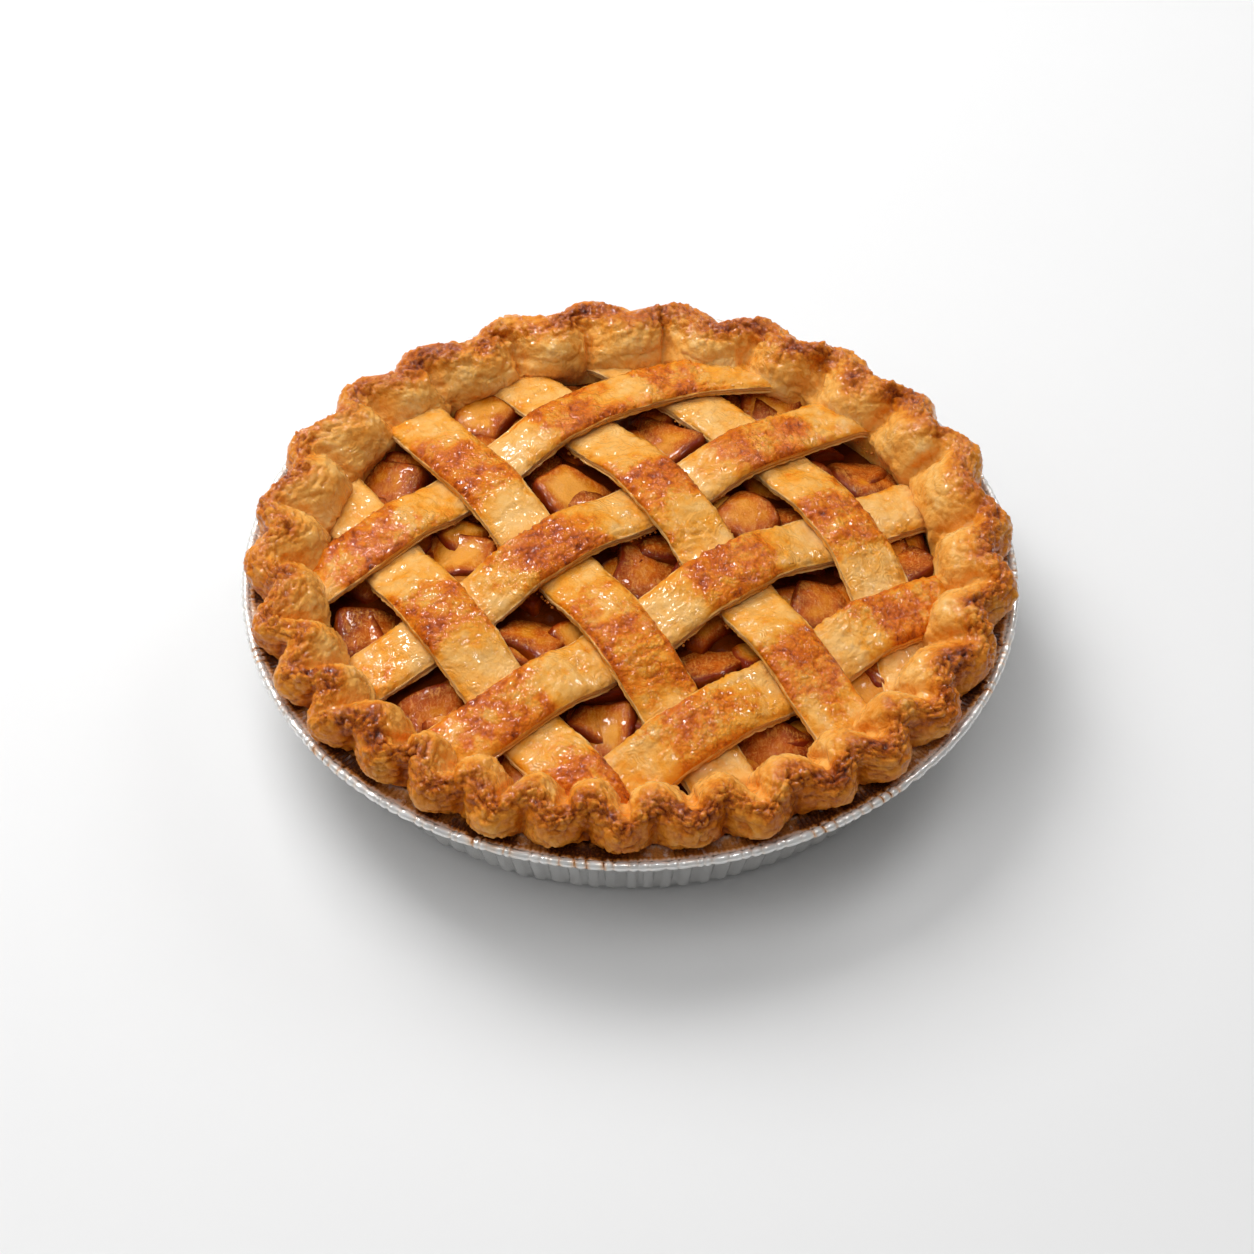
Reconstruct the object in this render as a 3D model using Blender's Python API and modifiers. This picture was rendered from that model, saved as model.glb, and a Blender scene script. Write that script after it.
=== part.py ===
"""Lattice apple pie in the pleated foil tin it was baked in.

Metres, +Z up. The tin's flat base rests on z = 0 and the pie is centred on the Z axis. A pastry case
lines the tin and ends in a crimped edge, the apple filling fills the case, and four strips each way
are woven over it. Bearings are in degrees, anticlockwise from +X.
"""
import math
import random

import bmesh
import bpy
from mathutils import Vector

MM = 0.001
GAP = 0.35 * MM                 # left between pieces that touch in the real pie

# Foil tin
TIN_BASE_R = 103.0 * MM
TIN_MOUTH_R = 113.0 * MM
TIN_RIM_R = 122.5 * MM
TIN_HEIGHT = 36.0 * MM          # upper face of the flange
TIN_SHEET = 0.8 * MM
BASE_ROUND = 2.0 * MM           # the wall starts this far outside the flat base
BEAD_R = 1.4 * MM
BEAD_SIDES = 8
PLEATS = 120
PLEAT_RISE = 0.9 * MM
PLEAT_RISE_LOW = 0.4 * MM

# Pastry case and its crimped edge
CASE_FLOOR = 4.2 * MM
WELL_R_LOW = 95.2 * MM
WELL_R = 97.2 * MM
WELL_FOOT_Z = 33.0 * MM
WELL_WALL_Z = 35.5 * MM
WELL_LIP_Z = 38.0 * MM
CREST_Z = 51.0 * MM
CREST_R = 109.8 * MM
CREST_SWAY = 3.0 * MM           # the crest wanders this far out and in with each flute
BACK_SLUMP = 2.2 * MM           # at the back the crest has baked lower and drawn in
BACK_INSET = 3.4 * MM           # and the well's wall above the filling has moved in
BACK_FROM = 0.45                # sine of the bearing where this starts
BACK_FULL = 0.80
FLUTES = 28
FLUTE_STEPS = 6
FLUTE_START = -1.30             # flutes at bearing zero
FLUTE_DRIFT = ((1.085, -13.0), (0.197, -109.0))   # flutes, bearing: they are closer at the front

# Woven lattice: the surface half way through its thickness is a shallow dome
LATTICE_EDGE_Z = 37.0 * MM
LATTICE_RISE = 10.0 * MM
LATTICE_R = 96.6 * MM
STRIP_WIDTH = 19.5 * MM
STRIP_THICK = 4.2 * MM
STRIP_ROUND = 1.5 * MM          # rounding of the two upper edges
WEAVE = 2.3 * MM                # a strip rises or dips this far where it crosses another
CROSS_FLAT = 13.0 * MM          # half length of the level part at a crossing
STATION = 7.0 * MM

# Each strip runs between two bearings on the well and sways from the straight line
# by the last two figures, in mm, at a third and at two thirds of its length.
STRIPS_A = (
    ("strip_a1", -174, 64, 7.0, 12.5),
    ("strip_a2", -148, 42, 1.4, 2.0),
    ("strip_a3", -123, 16, 1.1, 2.3),
    ("strip_a4", -96, -13, -0.2, 1.5),
)
STRIPS_B = (
    ("strip_b1", 164, -98, -1.7, -1.7),
    ("strip_b2", 139, -73, 2.1, 2.1),
    ("strip_b3", 115, -49, 5.7, 4.3),
    ("strip_b4", 92, -28, 11.3, 13.6),
)
A_OVER_B4_AT_BACK = (0, 3)      # the one crossing out of turn

# Apple filling: a core under the strips and a chunk of apple in each window
CORE_DROP = 5.0 * MM            # core below the middle of the lattice
CORE_STEPS = 56
CHUNK_SIDES = 7
CHUNK_TOP = 1.0 * MM            # chunk tops below the middle of the lattice
CHUNK_CLEAR = 0.9 * MM
CHUNK_MAX_R = 10.5 * MM
EDGE_WINDOWS = (125, 154, -160, -134, -62, -36, -2, 27, 57)
EDGE_WINDOW_R = 84.0 * MM


def dome(r):
    """Height of the lattice's middle surface."""
    return LATTICE_EDGE_Z + LATTICE_RISE * (1.0 - (r / LATTICE_R) ** 2)


def back_share(across):
    """How far a point lies towards the back of the pie, from the sine of its bearing: 0 to 1."""
    return min(max((across - BACK_FROM) / (BACK_FULL - BACK_FROM), 0.0), 1.0)


def well_room(point):
    """Distance from a point inside the well to where the lattice ends at the wall."""
    r = point.length
    return LATTICE_R - BACK_INSET * back_share(point.y / r if r else 0.0) - r


def on_circle(radius, degrees):
    a = math.radians(degrees)
    return Vector((radius * math.cos(a), radius * math.sin(a)))


def material(name, colour, roughness, metallic=0.0):
    mat = bpy.data.materials.new(name)
    mat.use_nodes = True
    shader = mat.node_tree.nodes["Principled BSDF"]
    shader.inputs["Base Color"].default_value = (*colour, 1.0)
    shader.inputs["Roughness"].default_value = roughness
    shader.inputs["Metallic"].default_value = metallic
    return mat


def collection(name, cutters=False):
    col = bpy.data.collections.new(name)
    bpy.context.scene.collection.children.link(col)
    col.hide_render = cutters
    return col


def solid(name, bm, mat, col):
    """Finish a bmesh as a named object with outward faces."""
    bmesh.ops.recalc_face_normals(bm, faces=bm.faces)
    mesh = bpy.data.meshes.new(name)
    bm.to_mesh(mesh)
    bm.free()
    mesh.materials.append(mat)
    obj = bpy.data.objects.new(name, mesh)
    col.objects.link(obj)
    return obj


def apply_modifiers(obj):
    bpy.ops.object.select_all(action="DESELECT")
    bpy.context.view_layer.objects.active = obj
    obj.select_set(True)
    for mod in list(obj.modifiers):
        bpy.ops.object.modifier_apply(modifier=mod.name)


def turned(name, profile, steps, mat, col):
    """Solid of revolution; the profile runs from the axis at the top to the axis at the bottom."""
    mesh = bpy.data.meshes.new(name)
    edges = [(i, i + 1) for i in range(len(profile) - 1)]
    mesh.from_pydata([(r, 0.0, z) for r, z in profile], edges, [])
    mesh.materials.append(mat)
    obj = bpy.data.objects.new(name, mesh)
    col.objects.link(obj)
    screw = obj.modifiers.new("turn", "SCREW")
    screw.steps = steps
    screw.render_steps = steps
    screw.use_merge_vertices = True
    screw.merge_threshold = 0.0001
    apply_modifiers(obj)
    return obj


# Foil tin

def tin_bead():
    """The rolled edge, from where it leaves the flange's top round to where it meets its underside."""
    centre_r = TIN_RIM_R - BEAD_R
    centre_z = TIN_HEIGHT - TIN_SHEET / 2
    turn = 2.0 * math.pi / BEAD_SIDES
    start = math.pi - turn / 2
    angles = [start - i * turn for i in range(BEAD_SIDES)]
    return [(centre_r + BEAD_R * math.cos(a), centre_z + BEAD_R * math.sin(a)) for a in angles]


def foil_tin(mat, col):
    bead = tin_bead()
    flat_r = TIN_BASE_R - BASE_ROUND
    upper = [(0.0, TIN_SHEET), (flat_r, TIN_SHEET), (TIN_BASE_R - TIN_SHEET, BASE_ROUND + TIN_SHEET),
             (TIN_MOUTH_R - TIN_SHEET, TIN_HEIGHT)]
    lower = [(TIN_MOUTH_R, TIN_HEIGHT - TIN_SHEET), (TIN_BASE_R, BASE_ROUND), (flat_r, 0.0), (0.0, 0.0)]
    obj = turned("foil_tin", upper + bead + lower, 2 * PLEATS, mat, col)
    bm = bmesh.new()
    bm.from_mesh(obj.data)
    pleated = {(TIN_MOUTH_R, TIN_HEIGHT - TIN_SHEET): PLEAT_RISE, (TIN_BASE_R, BASE_ROUND): PLEAT_RISE_LOW}
    close = TIN_SHEET / 4
    steps = {}
    for v in bm.verts:
        r = math.hypot(v.co.x, v.co.y)
        if r < flat_r / 2:
            continue
        step = round(math.atan2(v.co.y, v.co.x) / (math.pi / PLEATS)) % (2 * PLEATS)
        rise = next((h for (pr, pz), h in pleated.items()
                     if abs(r - pr) < close and abs(v.co.z - pz) < close), None)
        if rise is None:
            steps[(step, round(r / MM, 2), round(v.co.z / MM, 2))] = v
        elif step % 2:
            v.co.x *= 1.0 + rise / r
            v.co.y *= 1.0 + rise / r
    # away from the pleats every second step is welded to the one before it
    weld = {v: steps[(step - 1, r, z)] for (step, r, z), v in steps.items() if step % 2}
    bmesh.ops.weld_verts(bm, targetmap=weld)
    bmesh.ops.recalc_face_normals(bm, faces=bm.faces)
    bm.to_mesh(obj.data)
    bm.free()
    return obj


# Pastry case

def flute_phase(bearing):
    """Flutes passed up to this bearing; a whole number is the middle of an outward lobe."""
    phase = FLUTES * bearing / 360.0 + FLUTE_START
    for order, (size, lead) in enumerate(FLUTE_DRIFT, 1):
        phase += size * math.cos(math.radians(order * bearing - lead))
    return phase


def flute_bearing(phase):
    """Bearing at which this many flutes have passed."""
    low, high = -90.0, 450.0
    while high - low > 1e-6:
        middle = (low + high) / 2
        if flute_phase(middle) < phase:
            low = middle
        else:
            high = middle
    return (low + high) / 2


def crimp_profile(phase, bearing):
    """Section of the case: outward lobes on whole flutes, inward bulges half way between them."""
    back = back_share(math.sin(math.radians(bearing)))
    slump, inset = BACK_SLUMP * back, BACK_INSET * back
    out = abs(math.cos(math.pi * phase))
    into = abs(math.sin(math.pi * phase))
    sway = CREST_SWAY * math.cos(2 * math.pi * phase)
    uneven = 0.7 * MM * math.sin(2.4 * phase) + 0.5 * MM * math.sin(5.3 * phase + 1.0)
    crest_r = CREST_R + sway - slump
    return [
        (WELL_R_LOW, TIN_SHEET + GAP + CASE_FLOOR),
        (WELL_R, WELL_FOOT_Z),
        (WELL_R - inset, WELL_WALL_Z),
        (WELL_R - inset, WELL_LIP_Z),
        (100.5 * MM - 1.8 * MM * into - inset, 42.0 * MM),
        (104.6 * MM - 3.6 * MM * into - (slump + inset) / 2, 47.6 * MM + uneven / 2 - slump),
        (crest_r, CREST_Z - 1.0 * MM * into + uneven - slump),
        (crest_r + 4.2 * MM, 48.0 * MM + uneven - slump),
        (115.0 * MM + 5.2 * MM * out - slump / 2, 42.4 * MM - slump / 2),
        (114.6 * MM + 3.6 * MM * out, TIN_HEIGHT + GAP),
    ]


def pastry_case(mat, col):
    bm = bmesh.new()
    lining = [
        (TIN_MOUTH_R - TIN_SHEET, TIN_HEIGHT + GAP),
        (TIN_MOUTH_R - TIN_SHEET - 1.4 * GAP, TIN_HEIGHT - GAP),
        (TIN_BASE_R - TIN_SHEET - 1.2 * GAP, BASE_ROUND + TIN_SHEET + GAP),
        (TIN_BASE_R - BASE_ROUND - GAP, TIN_SHEET + GAP),
    ]
    columns = []
    for k in range(FLUTES * FLUTE_STEPS):
        phase = k / FLUTE_STEPS
        bearing = flute_bearing(phase)
        ring = crimp_profile(phase, bearing) + lining
        columns.append([bm.verts.new((*on_circle(r, bearing), z)) for r, z in ring])
    for here, there in zip(columns, columns[1:] + columns[:1]):
        for i in range(len(here) - 1):
            bm.faces.new((here[i], there[i], there[i + 1], here[i + 1]))
    bm.faces.new([column[0] for column in columns])
    bm.faces.new([column[-1] for column in columns])
    return solid("pastry_case", bm, mat, col)


# Lattice

class Strip:
    """One lattice strip: a swaying centre line across the well, and where it crosses the others."""

    OVERRUN = 0.14              # part of the length by which the line is carried past the well

    def __init__(self, name, start, end, sway_1, sway_2):
        self.name = name
        self.ends = on_circle(LATTICE_R, start), on_circle(LATTICE_R, end)
        self.sway = sway_1 * MM, sway_2 * MM
        self.crossings = []     # (distance along the line, +1 over or -1 under)
        samples = 160
        span = 1.0 + 2 * self.OVERRUN
        self.line = [self.centre(-self.OVERRUN + span * i / samples) for i in range(samples + 1)]
        self.mile = [0.0]
        for a, b in zip(self.line, self.line[1:]):
            self.mile.append(self.mile[-1] + (b - a).length)

    def centre(self, t):
        """Cubic through both ends and the two swayed points."""
        a, b = self.ends
        inner = min(max(t, 0.0), 1.0)
        one = 13.5 * inner * (1 - inner) * (2.0 / 3.0 - inner)
        two = 13.5 * inner * (1 - inner) * (inner - 1.0 / 3.0)
        along = b - a
        side = Vector((-along.y, along.x)).normalized()
        # past the well the line goes straight on
        slope = ((9.0 * self.sway[0] - 4.5 * self.sway[1]) * min(t, 0.0)
                 + (4.5 * self.sway[0] - 9.0 * self.sway[1]) * max(t - 1.0, 0.0))
        return a + along * t + side * (one * self.sway[0] + two * self.sway[1] + slope)

    def at(self, mile):
        """Point and sideways direction at a distance along the line."""
        for i in range(len(self.line) - 1):
            if mile <= self.mile[i + 1] or i == len(self.line) - 2:
                a, b = self.line[i], self.line[i + 1]
                f = (mile - self.mile[i]) / (self.mile[i + 1] - self.mile[i])
                along = (b - a).normalized()
                return a + (b - a) * f, Vector((-along.y, along.x))

    def cross(self, other, over):
        """Find where two lines cross, and note on both which one lies on top."""
        for i in range(len(self.line) - 1):
            for j in range(len(other.line) - 1):
                p, r = self.line[i], self.line[i + 1] - self.line[i]
                q, s = other.line[j], other.line[j + 1] - other.line[j]
                turn = r.x * s.y - r.y * s.x
                if abs(turn) < 1e-12:
                    continue
                d = q - p
                t = (d.x * s.y - d.y * s.x) / turn
                u = (d.x * r.y - d.y * r.x) / turn
                if 0 <= t < 1 and 0 <= u < 1:
                    self.crossings.append((self.mile[i] + r.length * t, 1 if over else -1))
                    other.crossings.append((other.mile[j] + s.length * u, -1 if over else 1))
                    return p + r * t
        return None

    def weave(self, mile):
        """Height above the dome: level over and under each crossing, eased in between."""
        known = sorted(self.crossings)
        if mile <= known[0][0]:
            return known[0][1] * WEAVE
        for (m0, s0), (m1, s1) in zip(known, known[1:]):
            if mile <= m1:
                run = (mile - m0 - CROSS_FLAT) / max(m1 - m0 - 2 * CROSS_FLAT, MM)
                run = min(max(run, 0.0), 1.0)
                ease = run * run * (3 - 2 * run)
                return (s0 + (s1 - s0) * ease) * WEAVE
        return known[-1][1] * WEAVE

    def limits(self, offset):
        """Where a line parallel to the centre line enters and leaves the well."""
        inside = []
        for mile in self.mile:
            point, side = self.at(mile)
            if well_room(point + side * offset) > 0:
                inside.append(mile)
        ends = []
        for mile, step in ((inside[0], -MM), (inside[-1], MM)):
            near, far = mile, mile + 3 * step
            for _ in range(24):
                middle = (near + far) / 2
                point, side = self.at(middle)
                if well_room(point + side * offset) > 0:
                    near = middle
                else:
                    far = middle
            ends.append(near)
        return ends

    def lanes(self, offsets):
        """For each parallel line, the distances of its sections: the level parts' ends, even steps
        between them, and steps that run out to the well's round wall at both ends."""
        limits = [self.limits(x) for x in offsets]
        low, high = max(start for start, _ in limits) + MM, min(end for _, end in limits) - MM
        keep = {low, high}
        for mile, _ in self.crossings:
            keep.update(m for m in (mile - CROSS_FLAT, mile + CROSS_FLAT) if low + MM < m < high - MM)
        keep = sorted(keep)
        shared = [low]
        for a, b in zip(keep, keep[1:]):
            shared += even_steps(a, b, max(1, round((b - a) / STATION)))[1:]
        out_low = max(1, round((low - min(start for start, _ in limits)) / STATION))
        out_high = max(1, round((max(end for _, end in limits) - high) / STATION))
        return [even_steps(start, low, out_low)[:-1] + shared + even_steps(high, end, out_high)[1:]
                for start, end in limits]


def even_steps(a, b, parts):
    return [a + (b - a) * i / parts for i in range(parts + 1)]


def strip_section():
    """Half section outline: offset from the centre line and height from the middle, going round."""
    half, thick = STRIP_WIDTH / 2, STRIP_THICK / 2
    right = [(half, -thick), (half, thick - STRIP_ROUND), (half - STRIP_ROUND, thick)]
    return right + [(-x, z) for x, z in reversed(right)]


def lattice_strip(strip, mat, col):
    bm = bmesh.new()
    section = strip_section()
    rails = []
    for (x, z), miles in zip(section, strip.lanes([x for x, _ in section])):
        rail = []
        for mile in miles:
            point, side = strip.at(mile)
            point = point + side * x
            rail.append(bm.verts.new((point.x, point.y, dome(point.length) + strip.weave(mile) + z)))
        rails.append(rail)
    for rail, following in zip(rails, rails[1:] + rails[:1]):
        for i in range(len(rail) - 1):
            bm.faces.new((rail[i], following[i], following[i + 1], rail[i + 1]))
    bm.faces.new([rail[0] for rail in rails])
    bm.faces.new([rail[-1] for rail in rails])
    return solid(strip.name, bm, mat, col)


def weave_strips():
    """All eight strips with their crossings, and the crossing points by row and column."""
    rows = [Strip(*entry) for entry in STRIPS_A]
    columns = [Strip(*entry) for entry in STRIPS_B]
    points = {}
    for i, a in enumerate(rows):
        for j, b in enumerate(columns):
            a_over = (i + j) % 2 == 0 or (i, j) == A_OVER_B4_AT_BACK
            points[i, j] = a.cross(b, a_over)
    return rows, columns, points


# Filling

def room(point, strips):
    """Free distance round a point, to the nearest strip's edge or the well's wall."""
    nearest = min((q - point).length for s in strips for q in s.line) - STRIP_WIDTH / 2
    return min(nearest, well_room(point))


def roomiest(point, strips):
    """Walk to the middle of the window that the point lies in."""
    step = 4.0 * MM
    while step > 0.3 * MM:
        trials = [point] + [point + on_circle(step, 45 * k) for k in range(8)]
        best = max(trials, key=lambda p: room(p, strips))
        if best is point:
            step /= 2
        point = best
    return point


def apple_chunk(name, point, radius, draw, mat, col):
    """A cut piece of apple: a tapered block with a tilted top, standing in the core."""
    depth = 9.0 * MM
    top = dome(point.length) - CHUNK_TOP - draw.uniform(0.0, 1.2) * MM
    bpy.ops.mesh.primitive_cone_add(
        vertices=CHUNK_SIDES, radius1=radius, radius2=radius * draw.uniform(0.72, 0.85), depth=depth,
        location=(point.x, point.y, top - depth / 2), rotation=(0, 0, draw.uniform(0, math.tau)))
    obj = bpy.context.object
    obj.name = name
    tilt = Vector((draw.uniform(-0.12, 0.12), draw.uniform(-0.12, 0.12)))
    for v in obj.data.vertices:
        if v.co.z > 0:
            v.co.z += v.co.x * tilt.x + v.co.y * tilt.y
    obj.data.materials.append(mat)
    for owner in list(obj.users_collection):
        owner.objects.unlink(obj)
    col.objects.link(obj)
    return obj


def apple_filling(strips, points, mat, col, spare):
    floor = TIN_SHEET + 2 * GAP + CASE_FLOOR
    low_r, high_r = WELL_R_LOW - GAP, LATTICE_R - GAP
    profile = [(r * high_r, dome(r * high_r) - CORE_DROP) for r in (0.0, 0.3, 0.58, 0.82, 1.0)]
    core = turned("filling", profile + [(low_r, floor), (0.0, floor)], CORE_STEPS, mat, col)
    draw = random.Random(11)
    starts = [on_circle(EDGE_WINDOW_R, bearing) for bearing in EDGE_WINDOWS]
    for i in range(len(STRIPS_A) - 1):
        for j in range(len(STRIPS_B) - 1):
            corners = [points[i + di, j + dj] for di in (0, 1) for dj in (0, 1)]
            starts.append(sum(corners, Vector((0.0, 0.0))) / len(corners))
    count = 0
    for start in starts:
        place = roomiest(start, strips)
        radius = min(room(place, strips) - CHUNK_CLEAR, CHUNK_MAX_R)
        if radius > 3.0 * MM:
            apple_chunk("chunk_%02d" % count, place, radius, draw, mat, spare)
            count += 1
    union = core.modifiers.new("chunks", "BOOLEAN")
    union.operation = "UNION"
    union.solver = "EXACT"
    union.operand_type = "COLLECTION"
    union.collection = spare
    apply_modifiers(core)
    for obj in list(spare.objects):
        bpy.data.objects.remove(obj, do_unlink=True)
    return core


def main():
    for obj in list(bpy.data.objects):
        bpy.data.objects.remove(obj, do_unlink=True)
    pie = collection("lattice_apple_pie")
    spare = collection("fused_chunks", cutters=True)
    foil = material("foil", (0.78, 0.78, 0.79), 0.28, 1.0)
    crust = material("crust", (0.62, 0.32, 0.10), 0.55)
    lattice = material("lattice", (0.80, 0.47, 0.16), 0.45)
    apple = material("apple", (0.45, 0.17, 0.03), 0.30)
    foil_tin(foil, pie)
    pastry_case(crust, pie)
    rows, columns, points = weave_strips()
    for strip in rows + columns:
        lattice_strip(strip, lattice, pie)
    apple_filling(rows + columns, points, apple, pie, spare)
    bpy.data.collections.remove(spare)


main()
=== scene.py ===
"""Looks of the lattice apple pie: crimped crust, glazed lattice, apple in syrup and the foil tin.

Metres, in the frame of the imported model. Bearings are in degrees, anticlockwise from +X.
"""

import math

import bpy
import numpy as np
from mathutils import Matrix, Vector


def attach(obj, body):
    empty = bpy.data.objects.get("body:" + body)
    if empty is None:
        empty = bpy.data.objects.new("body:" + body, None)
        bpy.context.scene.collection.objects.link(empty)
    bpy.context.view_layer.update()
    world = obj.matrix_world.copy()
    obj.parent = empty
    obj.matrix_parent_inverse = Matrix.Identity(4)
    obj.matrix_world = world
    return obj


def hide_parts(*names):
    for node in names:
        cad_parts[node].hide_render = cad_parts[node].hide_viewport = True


MM = 0.001
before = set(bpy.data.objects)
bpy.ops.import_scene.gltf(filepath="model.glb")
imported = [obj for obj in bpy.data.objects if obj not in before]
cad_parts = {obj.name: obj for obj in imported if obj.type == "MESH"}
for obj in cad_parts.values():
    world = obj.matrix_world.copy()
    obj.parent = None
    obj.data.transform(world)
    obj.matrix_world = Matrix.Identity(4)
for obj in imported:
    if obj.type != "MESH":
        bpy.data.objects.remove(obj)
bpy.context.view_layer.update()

# Sizes shared with the solids
TIN_BASE_R = 103.0 * MM
TIN_MOUTH_R = 113.0 * MM
TIN_RIM_R = 122.5 * MM
TIN_HEIGHT = 36.0 * MM
BEAD_R = 1.4 * MM
PLEATS = 120
FLUTES = 28
FLUTE_START = -1.30
# how many flutes the rope runs ahead, and the bearing where it does so most, once round and twice round
FLUTE_DRIFT = ((1.085, -13.0), (0.197, -109.0))
WELL_R = 97.2 * MM
BACK_SLUMP = 2.2 * MM
BACK_INSET = 3.4 * MM
BACK_FROM = 0.45
BACK_FULL = 0.80
LATTICE_EDGE_Z = 37.0 * MM
LATTICE_RISE = 10.0 * MM
LATTICE_R = 96.6 * MM
STRIP_WIDTH = 19.5 * MM
STRIP_THICK = 4.2 * MM
WEAVE = 2.3 * MM
LEVEL_HALF = 8.5 * MM
# each strip's name, the bearings of its ends, and its sway in mm a third and two thirds of the way along
STRIPS_A = (
    ("a1", -174, 64, 7.0, 12.5),
    ("a2", -148, 42, 1.4, 2.0),
    ("a3", -123, 16, 1.1, 2.3),
    ("a4", -96, -13, -0.2, 1.5),
)
STRIPS_B = (
    ("b1", 164, -98, -1.7, -1.7),
    ("b2", 139, -73, 2.1, 2.1),
    ("b3", 115, -49, 5.7, 4.3),
    ("b4", 92, -28, 11.3, 13.6),
)
A_OVER_B4_AT_BACK = (0, 3)
# bearings of the windows between the lattice and the crust
EDGE_WINDOWS = (125, 154, -160, -134, -111, -62, -38, -28, -2, 27, 57)
EDGE_WINDOW_R = 86.0 * MM

# Camera, fitted to the round of the rim: from the front and well above
VIEW_TILT = 46.95
VIEW_DISTANCE = 0.7398
VIEW_TARGET = Vector((-0.001, -0.0306, 0.038))
FOCAL_PIXELS = 2405.0
FRAME_PIXELS = 1254.0
SENSOR_MM = 36.0


# Numbers from points: noise, cells and eased steps, on whole arrays

def smooth(low, high, x):
    """0 at low, 1 at high, eased at both ends."""
    t = np.clip((x - low) / (high - low), 0.0, 1.0)
    return t * t * (3.0 - 2.0 * t)


def hashed(cell, seed):
    """A repeatable number from 0 to 1 for each whole-number cell."""
    h = cell[..., 0] * 73856093 ^ cell[..., 1] * 19349663 ^ cell[..., 2] * 83492791 ^ (seed * 961748941)
    for shift, factor in ((15, 739981397), (13, 1274126177), (16, 668265263)):
        h = ((h ^ (h >> shift)) * factor) & 0x7FFFFFFF
    return (h & 0xFFFFFF) / float(0x1000000)


def noise(points, size, seed):
    """Smooth noise from -1 to 1 with features of this size."""
    p = points / size
    cell = np.floor(p).astype(np.int64)
    f = p - cell
    f = f * f * f * (f * (f * 6 - 15) + 10)
    total = 0.0
    for corner in np.ndindex(2, 2, 2):
        weight = 1.0
        for axis, bit in enumerate(corner):
            weight = weight * (f[..., axis] if bit else 1 - f[..., axis])
        total = total + weight * hashed(cell + np.array(corner), seed)
    return 2 * total - 1


def layered(points, size, seed, octaves=3, gain=0.5):
    """Noise with finer and weaker noise on top."""
    total, weight, norm = 0.0, 1.0, 0.0
    for k in range(octaves):
        total = total + weight * noise(points, size / 2 ** k, seed + 17 * k)
        norm += weight
        weight *= gain
    return total / norm


def cells(points, size, seed):
    """Distances to the nearest two scattered points, in cell sizes, and the nearest one's own number."""
    p = points / size
    base = np.floor(p).astype(np.int64)
    first = np.full(p.shape[:-1], 9.0)
    second = first.copy()
    owner = np.zeros_like(first)
    for shift in np.ndindex(3, 3, 3):
        cell = base + np.array(shift) - 1
        spot = np.stack([hashed(cell, seed + k) for k in range(3)], -1) + cell
        gap = np.linalg.norm(p - spot, axis=-1)
        near = gap < first
        second = np.where(near, first, np.minimum(second, gap))
        owner = np.where(near, hashed(cell, seed + 5), owner)
        first = np.where(near, gap, first)
    return first, second, owner


# Meshes from grids of points

def grid_normals(p, wrap):
    """Unit normals of a grid of points that may close on itself along either axis."""
    steps = []
    for axis in (0, 1):
        if wrap[axis]:
            steps.append(np.roll(p, -1, axis) - np.roll(p, 1, axis))
        else:
            steps.append(np.gradient(p, axis=axis))
    n = np.cross(steps[0], steps[1])
    return n / np.maximum(np.linalg.norm(n, axis=-1, keepdims=True), 1e-12)


def grid_quads(rows, columns, wrap):
    i = np.arange(rows if wrap[0] else rows - 1)
    j = np.arange(columns if wrap[1] else columns - 1)
    i, j = np.meshgrid(i, j, indexing="ij")
    i2, j2 = (i + 1) % rows, (j + 1) % columns
    corners = [i * columns + j, i2 * columns + j, i2 * columns + j2, i * columns + j2]
    return np.stack(corners, -1).reshape(-1, 4)


def piece(name, points, faces, material, node, values=None):
    """A smooth mesh piece that stands for a CAD node, with named numbers on its points."""
    mesh = bpy.data.meshes.new(name)
    faces = faces if isinstance(faces, list) else faces.tolist()
    mesh.from_pydata(points.reshape(-1, 3).tolist(), [], faces)
    for key, array in (values or {}).items():
        layer = mesh.attributes.new(key, "FLOAT", "POINT")
        layer.data.foreach_set("value", np.ascontiguousarray(array, dtype=np.float32).ravel())
    mesh.polygons.foreach_set("use_smooth", [True] * len(mesh.polygons))
    mesh.materials.append(material)
    obj = bpy.data.objects.new(name, mesh)
    bpy.context.scene.collection.objects.link(obj)
    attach(obj, "root")
    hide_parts(node)


# Materials

def linear(code):
    """sRGB hex to linear colour."""
    channels = [int(code[i:i + 2], 16) / 255 for i in (1, 3, 5)]
    return [c / 12.92 if c <= 0.04045 else ((c + 0.055) / 1.055) ** 2.4 for c in channels] + [1.0]


def blank(name):
    """A new material, its node tree and its shader."""
    material = bpy.data.materials.new(name)
    material.use_nodes = True
    return material, material.node_tree, material.node_tree.nodes["Principled BSDF"]


def fill(node, *inputs, **named):
    """Give a node's inputs numbers, colours or links, in order or by name with _ for a space."""
    in_use = [socket for socket in node.inputs if socket.enabled]
    by_name = {socket.name.replace(" ", "_"): socket for socket in in_use}
    pairs = list(zip(in_use, inputs)) + [(by_name[key], value) for key, value in named.items()]
    for socket, value in pairs:
        if isinstance(value, bpy.types.NodeSocket):
            node.id_data.links.new(value, socket)
        else:
            socket.default_value = value


def add(tree, kind, settings, *inputs, out=None, **named):
    """Add a node with its settings and links, and hand back its first output in use or the one named."""
    node = tree.nodes.new("ShaderNode" + kind)
    for key, value in settings.items():
        if key == "stops":
            elements = node.color_ramp.elements
            while len(elements) < len(value):
                elements.new(0.5)
            for element, (place, code) in zip(elements, value):
                element.position = place
                element.color = linear(code)
        else:
            setattr(node, key, value)
    fill(node, *inputs, **named)
    return node.outputs[out] if out else next(socket for socket in node.outputs if socket.enabled)


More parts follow.
